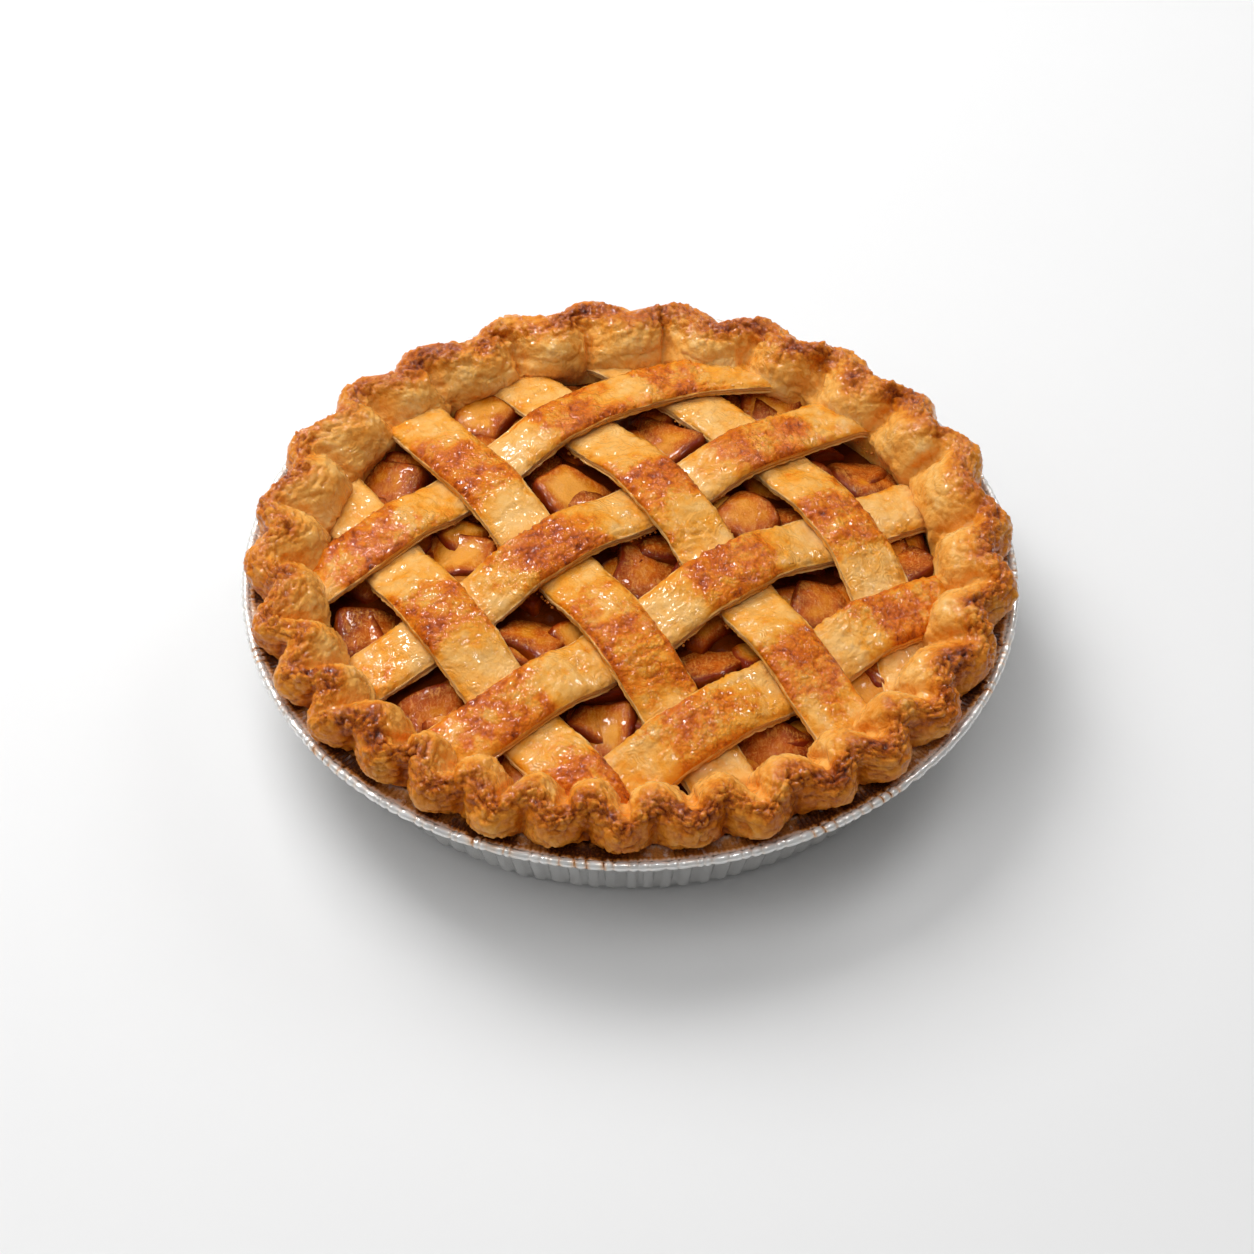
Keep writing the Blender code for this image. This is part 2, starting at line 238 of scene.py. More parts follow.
# Colours of the crust and the lattice from pale dough to burnt, which also colour the painted shade and
# painted highlights
CRUST_STOPS = ((0.0, "#f2ca86"), (0.25, "#ecac54"), (0.45, "#e08c2a"), (0.62, "#c86a10"),
               (0.78, "#9c4604"), (0.90, "#742c00"), (1.0, "#461800"))
LATTICE_STOPS = ((0.0, "#e8bc7c"), (0.20, "#e6ae5e"), (0.40, "#e4962a"), (0.56, "#dc7608"),
                 (0.72, "#c65c00"), (0.87, "#9e4000"), (1.0, "#642200"))
# Apple from darkest deep down by the syrup, where painted shade darkens it, to the palest cut face, and
# juice on the foil from thin to burnt on, whose colours also serve for painted shade and a painted
# reflection of the crust
APPLE_STOPS = ((0.0, "#401200"), (0.3, "#7e2e00"), (0.6, "#b04c00"), (0.85, "#c87408"), (1.0, "#dc9232"))
JUICE_AND_PAINTED_LIGHT_STOPS = ((0.15, "#eabb80"), (0.50, "#cc8c48"), (0.78, "#94561e"), (1.0, "#3c1604"))

TIMES = {"operation": "MULTIPLY"}
LESS = {"operation": "SUBTRACT"}
TIMES_PLUS = {"operation": "MULTIPLY_ADD"}
TIMES_CLAMPED = {"operation": "MULTIPLY", "use_clamp": True}
TIMES_PLUS_CLAMPED = {"operation": "MULTIPLY_ADD", "use_clamp": True}
EASED = {"interpolation_type": "SMOOTHSTEP"}
COLOUR = {"data_type": "RGBA"}


def pastry(name, stops, gloss, mottle):
    """Short pastry brushed with egg wash and baked: matt dough, pale to burnt by the bake number, which
    also holds painted shade and painted highlights, with flakes and blisters, under a thin hard glaze
    that stands in drops and glints."""
    material, tree, shader = blank(name)
    where = add(tree, "TexCoord", {}, out="Object")
    # crumb, flakes of dough and uneven heat
    fine, flake, broad = (
        add(tree, "TexNoise", {}, Vector=where, Scale=1.0 / (mm * MM), Detail=2.0, Roughness=roughness)
        for mm, roughness in ((0.8, 0.6), (2.2, 0.6), (6.0, 0.55)))
    # raised drops of wash with level glaze between them, so that each shows a small crescent of light
    drops = add(tree, "TexNoise", {}, Vector=where, Scale=1.0 / (1.8 * MM), Detail=1.0, Roughness=0.4)
    drops = add(tree, "MapRange", EASED, drops, 0.46, 0.66)
    pimples = add(tree, "TexVoronoi", {}, Vector=where, Scale=1.0 / (1.25 * MM), out="Distance")
    # wrinkles that run side by side like the lines of a map, in some places only
    lines = add(tree, "TexNoise", {}, Vector=where, Scale=1.0 / (7.0 * MM), Detail=1.5, Roughness=0.4)
    lines = add(tree, "Math", {"operation": "SINE"}, add(tree, "Math", TIMES, lines, 62.0))
    lined = add(tree, "TexNoise", {}, Vector=where, Scale=1.0 / (9.0 * MM), Detail=1.0, Roughness=0.55)
    lines = add(tree, "Math", TIMES, lines, add(tree, "MapRange", {}, lined, 0.46, 0.62))
    blister, bake, dry = (add(tree, "Attribute", {"attribute_name": key}, out="Fac")
                          for key in ("blister", "bake", "dry"))
    dimple = add(tree, "Math", TIMES, add(tree, "Math", LESS, pimples, 0.45), blister)
    # thin crinkled lines painted paler on the blisters: partly the paler skin of burst blisters, partly
    # a painted highlight that stands in for glints
    pale_skin_and_glint = add(tree, "TexNoise", {}, Vector=where, Scale=1.0 / (1.7 * MM), Detail=2.0, Roughness=0.6)
    pale_skin_and_glint = add(tree, "Math", {"operation": "ABSOLUTE"}, add(tree, "Math", LESS, pale_skin_and_glint, 0.5))
    pale_skin_and_glint = add(tree, "Math", TIMES, add(tree, "MapRange", {}, pale_skin_and_glint, 0.035, 0.0), blister)

    for part, share in ((fine, mottle), (flake, 2.0 * mottle), (broad, 0.16)):
        bake = add(tree, "Math", TIMES_PLUS, add(tree, "Math", LESS, part, 0.5), share, bake)
    # painted shade in the pits between the pimples, painted light on the wrinkles (paler crests, darker
    # troughs) and a painted highlight on the crinkles
    bake = add(tree, "Math", TIMES_PLUS, dimple, 0.20, bake)
    bake = add(tree, "Math", TIMES_PLUS, lines, -0.02, bake)
    bake = add(tree, "Math", TIMES_PLUS_CLAMPED, pale_skin_and_glint, -0.10, bake)
    rough = add(tree, "Math", TIMES_PLUS, dry, 0.30, gloss)
    rough = add(tree, "Math", TIMES_PLUS_CLAMPED, add(tree, "Math", LESS, fine, 0.5), 0.15, rough)

    height = add(tree, "Math", TIMES_PLUS, fine, 0.5, add(tree, "Math", TIMES, flake, 0.6))
    height = add(tree, "Math", LESS, height, add(tree, "Math", TIMES, dimple, 0.8))
    height = add(tree, "Math", TIMES_PLUS, lines, 0.09, height)
    height = add(tree, "Math", TIMES_PLUS, pale_skin_and_glint, 0.22, height)
    wash = add(tree, "Math", TIMES, drops, add(tree, "Math", TIMES_PLUS, blister, 0.14, 0.10))
    wash = add(tree, "Math", LESS, wash, add(tree, "Math", TIMES, dimple, 0.2))
    wash = add(tree, "Math", TIMES_PLUS, lines, 0.12, wash)
    fill(shader, Base_Color=add(tree, "ValToRGB", {"stops": stops}, bake), Roughness=rough,
         Specular_IOR_Level=0.05, Coat_Weight=1.0, Coat_Roughness=0.08, Coat_IOR=1.28,
         Normal=add(tree, "Bump", {}, Height=height, Distance=0.7 * MM, Strength=0.8),
         Coat_Normal=add(tree, "Bump", {}, Height=wash, Distance=0.6 * MM, Strength=1.0))
    return material


def apple_flesh():
    """Apple baked soft in caramel: amber cut faces with a pale grain, red-brown edges and a wet film."""
    material, tree, shader = blank("baked_apple")
    where = add(tree, "TexCoord", {}, out="Object")
    edge, tone, cut = (add(tree, "Attribute", {"attribute_name": key}, out="Fac")
                       for key in ("edge", "tone", "cut"))
    fine = add(tree, "TexNoise", {}, Vector=where, Scale=1.0 / (0.7 * MM), Detail=3.0, Roughness=0.65)
    broad = add(tree, "TexNoise", {}, Vector=where, Scale=1.0 / (5.0 * MM), Detail=2.0, Roughness=0.55)
    tone = add(tree, "Math", TIMES_PLUS, add(tree, "Math", LESS, broad, 0.5), 0.45, tone)
    flesh = add(tree, "ValToRGB", {"stops": APPLE_STOPS}, tone)
    # pale grains and drawn-out fibres on the cut faces
    speckle = add(tree, "Math", TIMES, add(tree, "MapRange", {}, fine, 0.50, 0.66),
                  add(tree, "Math", TIMES, cut, 0.26))
    flesh = add(tree, "Mix", COLOUR, speckle, flesh, linear("#e8a850"))
    slanted = add(tree, "Mapping", {}, Vector=where, Rotation=(0.3, 0.5, 0.7), Scale=(1.0, 0.40, 1.0))
    streaks = add(tree, "TexNoise", {}, Vector=slanted, Scale=1.0 / (1.2 * MM), Detail=3.0,
                  Distortion=1.2)
    streak = add(tree, "Math", TIMES, add(tree, "MapRange", {}, streaks, 0.48, 0.70),
                 add(tree, "Math", TIMES, cut, 0.55))
    flesh = add(tree, "Mix", COLOUR, streak, flesh, linear("#dc9440"))
    colour = add(tree, "Mix", COLOUR, edge, flesh, linear("#701a00"))
    relief = add(tree, "Math", TIMES_PLUS, streaks, 0.6, fine)
    wet = add(tree, "TexNoise", {}, Vector=where, Scale=1.0 / (2.2 * MM), Detail=1.0, Roughness=0.55)
    wet = add(tree, "MapRange", EASED, wet, 0.42, 0.68)
    fill(shader, Base_Color=colour, Roughness=0.45, Specular_IOR_Level=0.04,
         Coat_Weight=0.9, Coat_Roughness=0.07, Coat_IOR=1.21,
         Normal=add(tree, "Bump", {}, Height=relief, Distance=0.35 * MM, Strength=0.6),
         Coat_Normal=add(tree, "Bump", {}, Height=wet, Distance=0.4 * MM, Strength=0.8))
    return material


def syrup(name, dark, light, rough):
    """Sugar boiled to caramel: deep red-brown, wet and smooth."""
    material, tree, shader = blank(name)
    where = add(tree, "TexCoord", {}, out="Object")
    tone, dip = (
        add(tree, "TexNoise", {}, Vector=where, Scale=1.0 / (mm * MM), Detail=2.0, Roughness=0.55)
        for mm in (4.0, 2.0))
    fill(shader, Roughness=rough, Specular_IOR_Level=0.22,
         Base_Color=add(tree, "Mix", COLOUR, tone, linear(dark), linear(light)),
         Normal=add(tree, "Bump", {}, Height=dip, Distance=0.8 * MM, Strength=0.5))
    return material


def foil(name, metallic):
    """Pressed aluminium foil: bright and finely creased, with juice baked on inside the bead, painted
    shade in the bead's cracks and the flange's rib valleys, and a painted reflection of the crust on the
    flange.
    """
    material, tree, shader = blank(name)
    where = add(tree, "TexCoord", {}, out="Object")
    stain = add(tree, "Attribute", {"attribute_name": "stain"}, out="Fac")
    fine, blot, sheen = (
        add(tree, "TexNoise", {}, Vector=where, Scale=1.0 / (mm * MM), Detail=detail, Roughness=rough)
        for mm, detail, rough in ((0.7, 3.0, 0.55), (3.0, 4.0, 0.65), (12.0, 2.0, 0.55)))
    amount = add(tree, "Math", TIMES_CLAMPED, add(tree, "Math", TIMES, stain, 2.0),
                 add(tree, "Math", TIMES_PLUS_CLAMPED, blot, 2.0, -0.2))
    metal = add(tree, "Mix", COLOUR, sheen, linear("#e4e3e1"), linear("#fafaf8"))
    depth = add(tree, "Math", TIMES_CLAMPED, stain, add(tree, "Math", TIMES_PLUS, fine, 0.8, 0.6))
    juice_and_painted_light_colour = add(tree, "ValToRGB", {"stops": JUICE_AND_PAINTED_LIGHT_STOPS}, depth)
    fill(shader, Base_Color=add(tree, "Mix", COLOUR, amount, metal, juice_and_painted_light_colour),
         Metallic=add(tree, "Math", TIMES_PLUS, amount, 0.15 - metallic, metallic),
         Roughness=add(tree, "Math", TIMES_PLUS, amount, 0.15, 0.20),
         Normal=add(tree, "Bump", {}, Height=fine, Distance=0.2 * MM, Strength=0.25))
    return material


# Shared shape rules

def dome(r):
    """Height of the middle of the lattice at this distance from the centre."""
    return LATTICE_EDGE_Z + LATTICE_RISE * (1.0 - (r / LATTICE_R) ** 2)


def back_share(across):
    """0 at the front and sides to 1 at the back, where the crust has slumped inwards."""
    return np.clip((across - BACK_FROM) / (BACK_FULL - BACK_FROM), 0.0, 1.0)


def flute_bearings(phase):
    """Bearing in degrees at which so many flutes have passed."""
    bearing = np.linspace(-60.0, 420.0, 480 * 20 + 1)
    passed = FLUTES * bearing / 360.0 + FLUTE_START
    for order, (size, lead) in enumerate(FLUTE_DRIFT, 1):
        passed = passed + size * np.cos(np.radians(order * bearing - lead))
    return np.interp(phase, passed, bearing)


def round_table(values, at):
    """Smooth periodic interpolation of one number for each flute."""
    count = len(values)
    i = np.floor(at).astype(int)
    f = smooth(0.0, 1.0, at - i)
    return values[i % count] * (1 - f) + values[(i + 1) % count] * f


def detail_spent(detail):
    """Running total of the detail from row to row."""
    return np.concatenate([[0.0], np.cumsum((detail[1:] + detail[:-1]) / 2)])


def spline(points, samples, detail):
    """Catmull-Rom curve through points on the second last axis, sampled closer where detail is high."""
    count = points.shape[-2]
    spent = detail_spent(detail)
    t = np.interp(np.linspace(0.0, spent[-1], samples), spent, np.arange(count))
    i = np.minimum(t.astype(int), count - 2)
    f = (t - i)[:, None]
    p0, p1, p2, p3 = (np.take(points, np.clip(i + k, 0, count - 1), axis=-2) for k in (-1, 0, 1, 2))
    return 0.5 * (2 * p1 + (p2 - p0) * f + (2 * p0 - 5 * p1 + 4 * p2 - p3) * f ** 2
                  + (3 * p1 - p0 - 3 * p2 + p3) * f ** 3)


# Crimped crust

CRUST_STEPS = 43 * FLUTES
CRUST_SAMPLES = 81
# Section in mm from the well over the top and out to the rim. Each row has radius and height at the
# middle of an outer lobe, then between two lobes; how much it follows the creases behind the lobes (-1)
# or between them (1); how much of the detail goes there; and how far it slumps at the back
CRUST_ROWS = (
    (97.2, 29.0, 97.2, 29.0, 0.0, 0.3, 0.0),
    (96.6, 34.5, 96.6, 34.5, 0.0, 0.6, 0.0),
    (97.6, 38.2, 95.6, 38.4, -1.0, 1.0, 0.0),
    (100.4, 40.6, 97.0, 42.2, -1.0, 1.1, 0.3),
    (103.6, 42.8, 98.8, 46.0, -1.0, 1.2, 0.6),
    (107.2, 45.4, 101.8, 48.8, -0.8, 1.3, 0.9),
    (110.9, 47.8, 105.4, 50.4, -0.4, 1.4, 1.0),
    (114.4, 49.3, 108.8, 50.8, 0.0, 1.4, 1.0),
    (117.4, 48.6, 111.4, 49.6, 0.2, 1.3, 1.0),
    (119.5, 46.2, 112.8, 47.0, 0.5, 1.2, 0.9),
    (120.3, 43.2, 113.0, 44.0, 0.8, 1.1, 0.8),
    (120.0, 40.6, 113.2, 41.4, 1.0, 0.9, 0.6),
    (118.4, 38.4, 113.8, 39.2, 1.0, 0.7, 0.3),
    (115.8, 36.9, 114.6, 37.4, 1.0, 0.5, 0.0),
    (112.0, 36.0, 112.0, 36.0, 0.0, 0.3, 0.0),
)
RIDGE_ROW = 7
OUTSIDE_ROW = 9
BUBBLE = 2.9 * MM
GRAIN = 1.6 * MM
# in flutes: where the crease behind a lobe and the gap outside it lie, and how far the flutes turn
# between the well and the rim
CREASE_AT = 0.05
GAP_AT = 0.07
FLUTE_TWIST = 0.12
# bearings of the scorched spots on the ridge, and how dark each one is
BURNT = ((303, 1.0), (309, 0.8), (331, 0.9), (229, 1.0), (214, 0.6), (96, 0.7), (7, 0.6), (276, 0.35),
         (162, 0.3), (124, 0.35), (188, 0.3), (251, 0.4), (351, 0.4))


def crust(material):
    """The whole pastry case, from the well over the crimped rope to the rim of the tin."""
    rng = np.random.default_rng(5)
    lobe_size, lobe_high, lobe_lean, lobe_slant = (rng.uniform(-1, 1, FLUTES) for _ in range(4))
    phase = np.arange(CRUST_STEPS) * FLUTES / CRUST_STEPS
    bearing = np.radians(flute_bearings(phase))
    size = round_table(lobe_size, phase)
    high = round_table(lobe_high, phase + 0.5)
    back = back_share(np.sin(bearing))
    slump, inset = 0.75 * BACK_SLUMP * back, BACK_INSET * back
    leant = phase + 0.10 * round_table(lobe_lean, phase)

    rows = []
    for k, (lobe_r, lobe_z, pocket_r, pocket_z, sharp, _, gives) in enumerate(CRUST_ROWS):
        turn = np.pi * (leant - CREASE_AT + FLUTE_TWIST * k / len(CRUST_ROWS))
        soft = 0.5 + 0.5 * np.cos(2 * turn)
        lobe = (abs(sharp) * (np.abs(np.cos(turn)) ** 0.8 if sharp > 0 else
                              1 - np.abs(np.sin(turn)) ** (0.9 + 0.5 * back))
                + (1 - abs(sharp)) * soft)
        reach = (lobe_r - pocket_r) * lobe * (1 + 0.15 * size)
        shift = (0.55 * high + 0.45 * np.sin(2.4 * phase)) * gives
        shift = shift + 1.8 * back * gives * (np.abs(np.cos(turn)) ** 0.8 - 0.6)
        pulled_in = (1 - 0.6 * gives) * inset * (k < OUTSIDE_ROW)
        rows.append(((pocket_r + reach) * MM - pulled_in - 0.8 * gives * slump,
                     (pocket_z + (lobe_z - pocket_z) * lobe + shift) * MM - gives * slump))
    control = np.stack([np.stack(row, -1) for row in rows], 1)
    detail = np.array([row[5] for row in CRUST_ROWS])
    section = spline(control, CRUST_SAMPLES, detail)
    r, z = section[..., 0], section[..., 1]
    b = bearing[:, None]
    points = np.stack([r * np.cos(b), r * np.sin(b), z], -1)
    normals = grid_normals(points, (True, False))
    if normals[0, CRUST_SAMPLES // 2, 2] < 0:
        normals = -normals

    # how far each sample lies from the top of the rope, in metres, inwards negative
    steps = np.linalg.norm(np.diff(section, axis=1), axis=-1)
    run = np.concatenate([np.zeros((CRUST_STEPS, 1)), np.cumsum(steps, 1)], 1)
    spent = detail_spent(detail)
    top = int(round((CRUST_SAMPLES - 1) * spent[RIDGE_ROW] / spent[-1]))
    offset = run - run[:, top][:, None]
    hind = back[:, None]
    # the browned band along the ridge, wider and further in at the back
    band = np.exp(-((offset - 0.8 * MM + 3.6 * MM * hind) / ((5.6 + 2.2 * hind) * MM)) ** 2)
    rough_zone = np.clip(band * (0.95 + 0.9 * layered(points, 8 * MM, 41)), 0, 1)

    # lumps where it has browned: blisters and crumbs, with cracks between them
    warped = points + 0.9 * MM * np.stack([layered(points, 2.5 * MM, 8 + k, 2) for k in range(3)], -1)
    first, second, owner = cells(warped, BUBBLE, 3)
    bubbles = np.clip(1.0 - first * 1.45, 0, 1) * (0.3 + 1.0 * owner)
    seams = smooth(0.0, 0.22, second - first)
    small_first, _, small_owner = cells(warped, GRAIN, 77)
    grains = np.clip(1.0 - small_first * 1.4, 0, 1) * (0.3 + 0.9 * small_owner)
    # slow folds and thin creases in the dough
    folds = layered(points, 7.5 * MM, 23, 3)
    stretched = points * np.array([1, 1, 2.4])
    crease_a = np.exp(-(layered(stretched, 8 * MM, 91, 2) / 0.07) ** 2)
    crease_b = np.exp(-(layered(points, 5 * MM, 131, 2) / 0.08) ** 2)
    deep = smooth(-3.0 * MM, -10.0 * MM, offset)
    calm = 1 - 0.35 * deep
    lift = rough_zone * (1.4 * MM * bubbles + 0.7 * MM * grains - 0.7 * MM * (1 - seams))
    lift = lift + (1 - rough_zone) * (0.55 * MM * bubbles + 0.30 * MM * grains)
    creases = (0.85 - 0.4 * rough_zone) * MM * crease_a + 0.40 * MM * crease_b
    lift = lift + 0.65 * MM * folds - calm * creases
    lift = lift + 0.8 * MM * layered(points, 13 * MM, 12, 2)
    # the folds: a sharp crease behind each lobe, which slants on over the ridge, and a soft one between
    inner = smooth(1.0 * MM, -7.0 * MM, offset)
    outer = smooth(3.0 * MM, 9.0 * MM, offset)
    slant = 0.12 + 0.22 * round_table(lobe_slant, phase)[:, None]
    across = np.clip(offset / (8.0 * MM), -1, 1)
    unruly = (0.09 + 0.05 * hind) * layered(points, 8 * MM, 55, 3)
    turned = leant[:, None] + unruly - slant * (across + 1)
    saw = (turned - CREASE_AT) % 1.0
    step = (0.5 - saw) * smooth(0.0, 0.09, saw) * (1 - 0.7 * outer)
    behind = np.exp(-(((turned - CREASE_AT + 0.5) % 1.0 - 0.5) / 0.085) ** 2)
    behind = behind * (0.25 + 0.75 * inner) * (1 - outer)
    between = np.exp(-(((leant[:, None] + GAP_AT) % 1.0 - 0.5) / 0.07) ** 2) * outer
    bulge = np.abs(np.sin(np.pi * (turned - CREASE_AT)))
    lift = lift + 1.4 * MM * step - (1.3 + 0.5 * hind) * MM * behind - 0.6 * MM * between
    lift = lift + (0.4 + 2.2 * hind) * MM * bulge * inner * smooth(0.0, 14 * MM, run)
    settle = smooth(0.0, 6.0 * MM, run) * smooth(0.0, 3.0 * MM, run[:, -1:] - run)
    points = points + normals * (lift * settle)[..., None]

    # browning: most along the ridge and at the scorched spots, least down in the well; the creases, the
    # cracks between blisters and the pockets between the outer lobes are painted darker as shade
    scorch = np.zeros_like(r)
    degrees = np.degrees(b)
    for place, strength in BURNT:
        away = (degrees - place + 180) % 360 - 180
        round_it = np.exp(-(away / 3.0) ** 2)
        scorch = scorch + strength * round_it * np.exp(-((offset + 0.5 * MM) / (4.0 * MM)) ** 2)
    scorch = scorch * smooth(-0.5, 0.4, layered(points, 5 * MM, 62, 2))
    mottle = layered(points, 8 * MM, 61, 3)
    pocket = outer * np.abs(np.sin(np.pi * (leant + GAP_AT)))[:, None] ** 3
    bake = 0.38 + 0.20 * rough_zone * (1.0 - 0.5 * bubbles) + 0.20 * mottle + 0.30 * scorch
    # the pocket term is painted shade in the pockets between the outer lobes
    bake = bake - (0.12 + 0.06 * hind) * deep + 0.04 * hind * band + 0.05 * outer + 0.08 * pocket
    # painted shade: the crease behind each lobe, the gap between lobes, the cracks between blisters and
    # the thin creases in the dough
    bake = bake + 0.07 * behind + 0.10 * between
    bake = bake + (0.13 - 0.06 * hind) * (1 - seams) * rough_zone
    bake = bake + calm * (0.10 * crease_a + 0.07 * crease_b)
    bake = bake + 0.14 * rough_zone * (owner - 0.5)
    dry = np.clip(0.25 + 0.30 * outer + 0.05 * deep - 0.3 * rough_zone, 0, 1)
    faces = grid_quads(CRUST_STEPS, CRUST_SAMPLES, (True, False))
    piece("crust_edge", points, faces, material, "pastry_case",
          {"bake": bake, "dry": dry, "blister": rough_zone})


# Woven lattice

# share of its length by which a centre line runs on past each end
OVERRUN = 0.14
LINE_SAMPLES = 400
# how far along a strip the browning of a hump and the shade of a dip reach
HUMP_HALF = 15 * MM
DIP_HALF = 13 * MM


class Strip:
    """One lattice strip's centre line, its crossings and the height of its weave."""

    def __init__(self, name, start, end, sway_1, sway_2):
        self.name = name
        a, b = (LATTICE_R * np.array([math.cos(math.radians(d)), math.sin(math.radians(d))])
                for d in (start, end))
        t = np.linspace(-OVERRUN, 1 + OVERRUN, LINE_SAMPLES)
        inner = np.clip(t, 0, 1)
        # two cubics, each 1 at its own third of the way and 0 at the other's, straight past the ends
        one = 13.5 * inner * (1 - inner) * (2 / 3 - inner)
        two = 13.5 * inner * (1 - inner) * (inner - 1 / 3)
        slope = ((9.0 * sway_1 - 4.5 * sway_2) * np.minimum(t, 0)
                 + (4.5 * sway_1 - 9.0 * sway_2) * np.maximum(t - 1, 0))
        along = b - a
        side = np.array([-along[1], along[0]]) / np.linalg.norm(along)
        shift = (one * sway_1 + two * sway_2 + slope) * MM
        self.line = a + along * t[:, None] + side * shift[:, None]
        steps = np.linalg.norm(np.diff(self.line, axis=0), axis=1)
        self.mile = np.concatenate([[0.0], np.cumsum(steps)])
        self.crossings = []

    def at(self, mile):
        """Points on the centre line this far along it, and the direction to the left of each."""
        point = np.stack([np.interp(mile, self.mile, self.line[:, k]) for k in (0, 1)], -1)
        ahead = np.stack([np.interp(mile + MM, self.mile, self.line[:, k]) for k in (0, 1)], -1)
        behind = np.stack([np.interp(mile - MM, self.mile, self.line[:, k]) for k in (0, 1)], -1)
        along = ahead - behind
        along = along / np.linalg.norm(along, axis=-1, keepdims=True)
        return point, np.stack([-along[..., 1], along[..., 0]], -1)

    def cross(self, other, over):
        """Note where two strips meet, and which lies over, and hand back the place."""
        p, r = self.line[:-1, None], np.diff(self.line, axis=0)[:, None]
        q, s = other.line[None, :-1], np.diff(other.line, axis=0)[None]
        turn = r[..., 0] * s[..., 1] - r[..., 1] * s[..., 0]
        d = q - p
        t = (d[..., 0] * s[..., 1] - d[..., 1] * s[..., 0]) / turn
        u = (d[..., 0] * r[..., 1] - d[..., 1] * r[..., 0]) / turn
        hit = np.argwhere((t >= 0) & (t < 1) & (u >= 0) & (u < 1))
        i, j = hit[0]
        here = self.mile[i] + t[i, j] * (self.mile[i + 1] - self.mile[i])
        there = other.mile[j] + u[i, j] * (other.mile[j + 1] - other.mile[j])
        self.crossings.append((here, 1 if over else -1))
        other.crossings.append((there, -1 if over else 1))
        return self.line[i] + (self.line[i + 1] - self.line[i]) * t[i, j]

    def weave(self, mile):
        """-1 under to +1 over, level on both sides of each crossing."""
        known = sorted(self.crossings)
        height = np.full_like(mile, known[0][1], dtype=float)
        for (m0, s0), (m1, s1) in zip(known, known[1:]):
            leave = m0 + LEVEL_HALF
            height = height + (s1 - s0) * smooth(leave, max(m1 - LEVEL_HALF, leave + MM), mile)
        return height

    def hump(self, mile):
        """1 over the middle of each upper crossing, 0 a window away."""
        return sum((np.exp(-((mile - m) / HUMP_HALF) ** 2) for m, s in self.crossings if s > 0),
                   np.zeros_like(mile))

    def dip(self, mile):
        """1 where another strip lies on top, 0 a window away."""
        return sum((np.exp(-((mile - m) / DIP_HALF) ** 2) for m, s in self.crossings if s < 0),
                   np.zeros_like(mile))


def weave_strips():
    """Both sets of strips, woven, and the place of every crossing."""
    rows = [Strip(*entry) for entry in STRIPS_A]
    columns = [Strip(*entry) for entry in STRIPS_B]
    points = {}
    for i, a in enumerate(rows):
        for j, b in enumerate(columns):
            points[i, j] = a.cross(b, (i + j) % 2 == 0 or (i, j) == A_OVER_B4_AT_BACK)
    return rows, columns, points


STRIP_STEP = 0.68 * MM
# the strips end inside the crust, at this distance from the centre
STRIP_END_R = 103.5 * MM
TOP_SAMPLES = 32
SIDE_SAMPLES = 12
FLOOR_SAMPLES = 5
TOP, SIDE, FLOOR = 0, 1, 2
# the share of a strip over which its end leans with the wall, and how deep the last of it is pressed in
END_SHARE = 0.18
PRESSED_IN = 1.8 * MM


def strip_outline():
    """Section going round: across from -1 to 1, up from -1 to 1, and the kind of surface."""
    across = np.linspace(-1, 1, TOP_SAMPLES)
    crown = 1 - 0.30 * np.abs(across) ** 2.6 - 0.45 * np.abs(across) ** 10
    # the cut sides start just below the rounded edge and lean in and out a little on their way down
    down = np.linspace(0, 1, SIDE_SAMPLES + 2)[1:-1]
    right = np.stack([1.0 + 0.02 * np.sin(down * 9), 0.25 - 1.20 * down], -1)
    left = np.stack([-(1.0 + 0.02 * np.sin(down[::-1] * 9)), 0.25 - 1.20 * down[::-1]], -1)
    floor = np.stack([np.linspace(0.94, -0.94, FLOOR_SAMPLES), np.full(FLOOR_SAMPLES, -1.0)], -1)
    outline = np.concatenate([np.stack([across, crown], -1), right, floor, left])
    counts = [TOP_SAMPLES, SIDE_SAMPLES, FLOOR_SAMPLES, SIDE_SAMPLES]
    kind = np.repeat([TOP, SIDE, FLOOR, SIDE], counts)
    return outline, kind


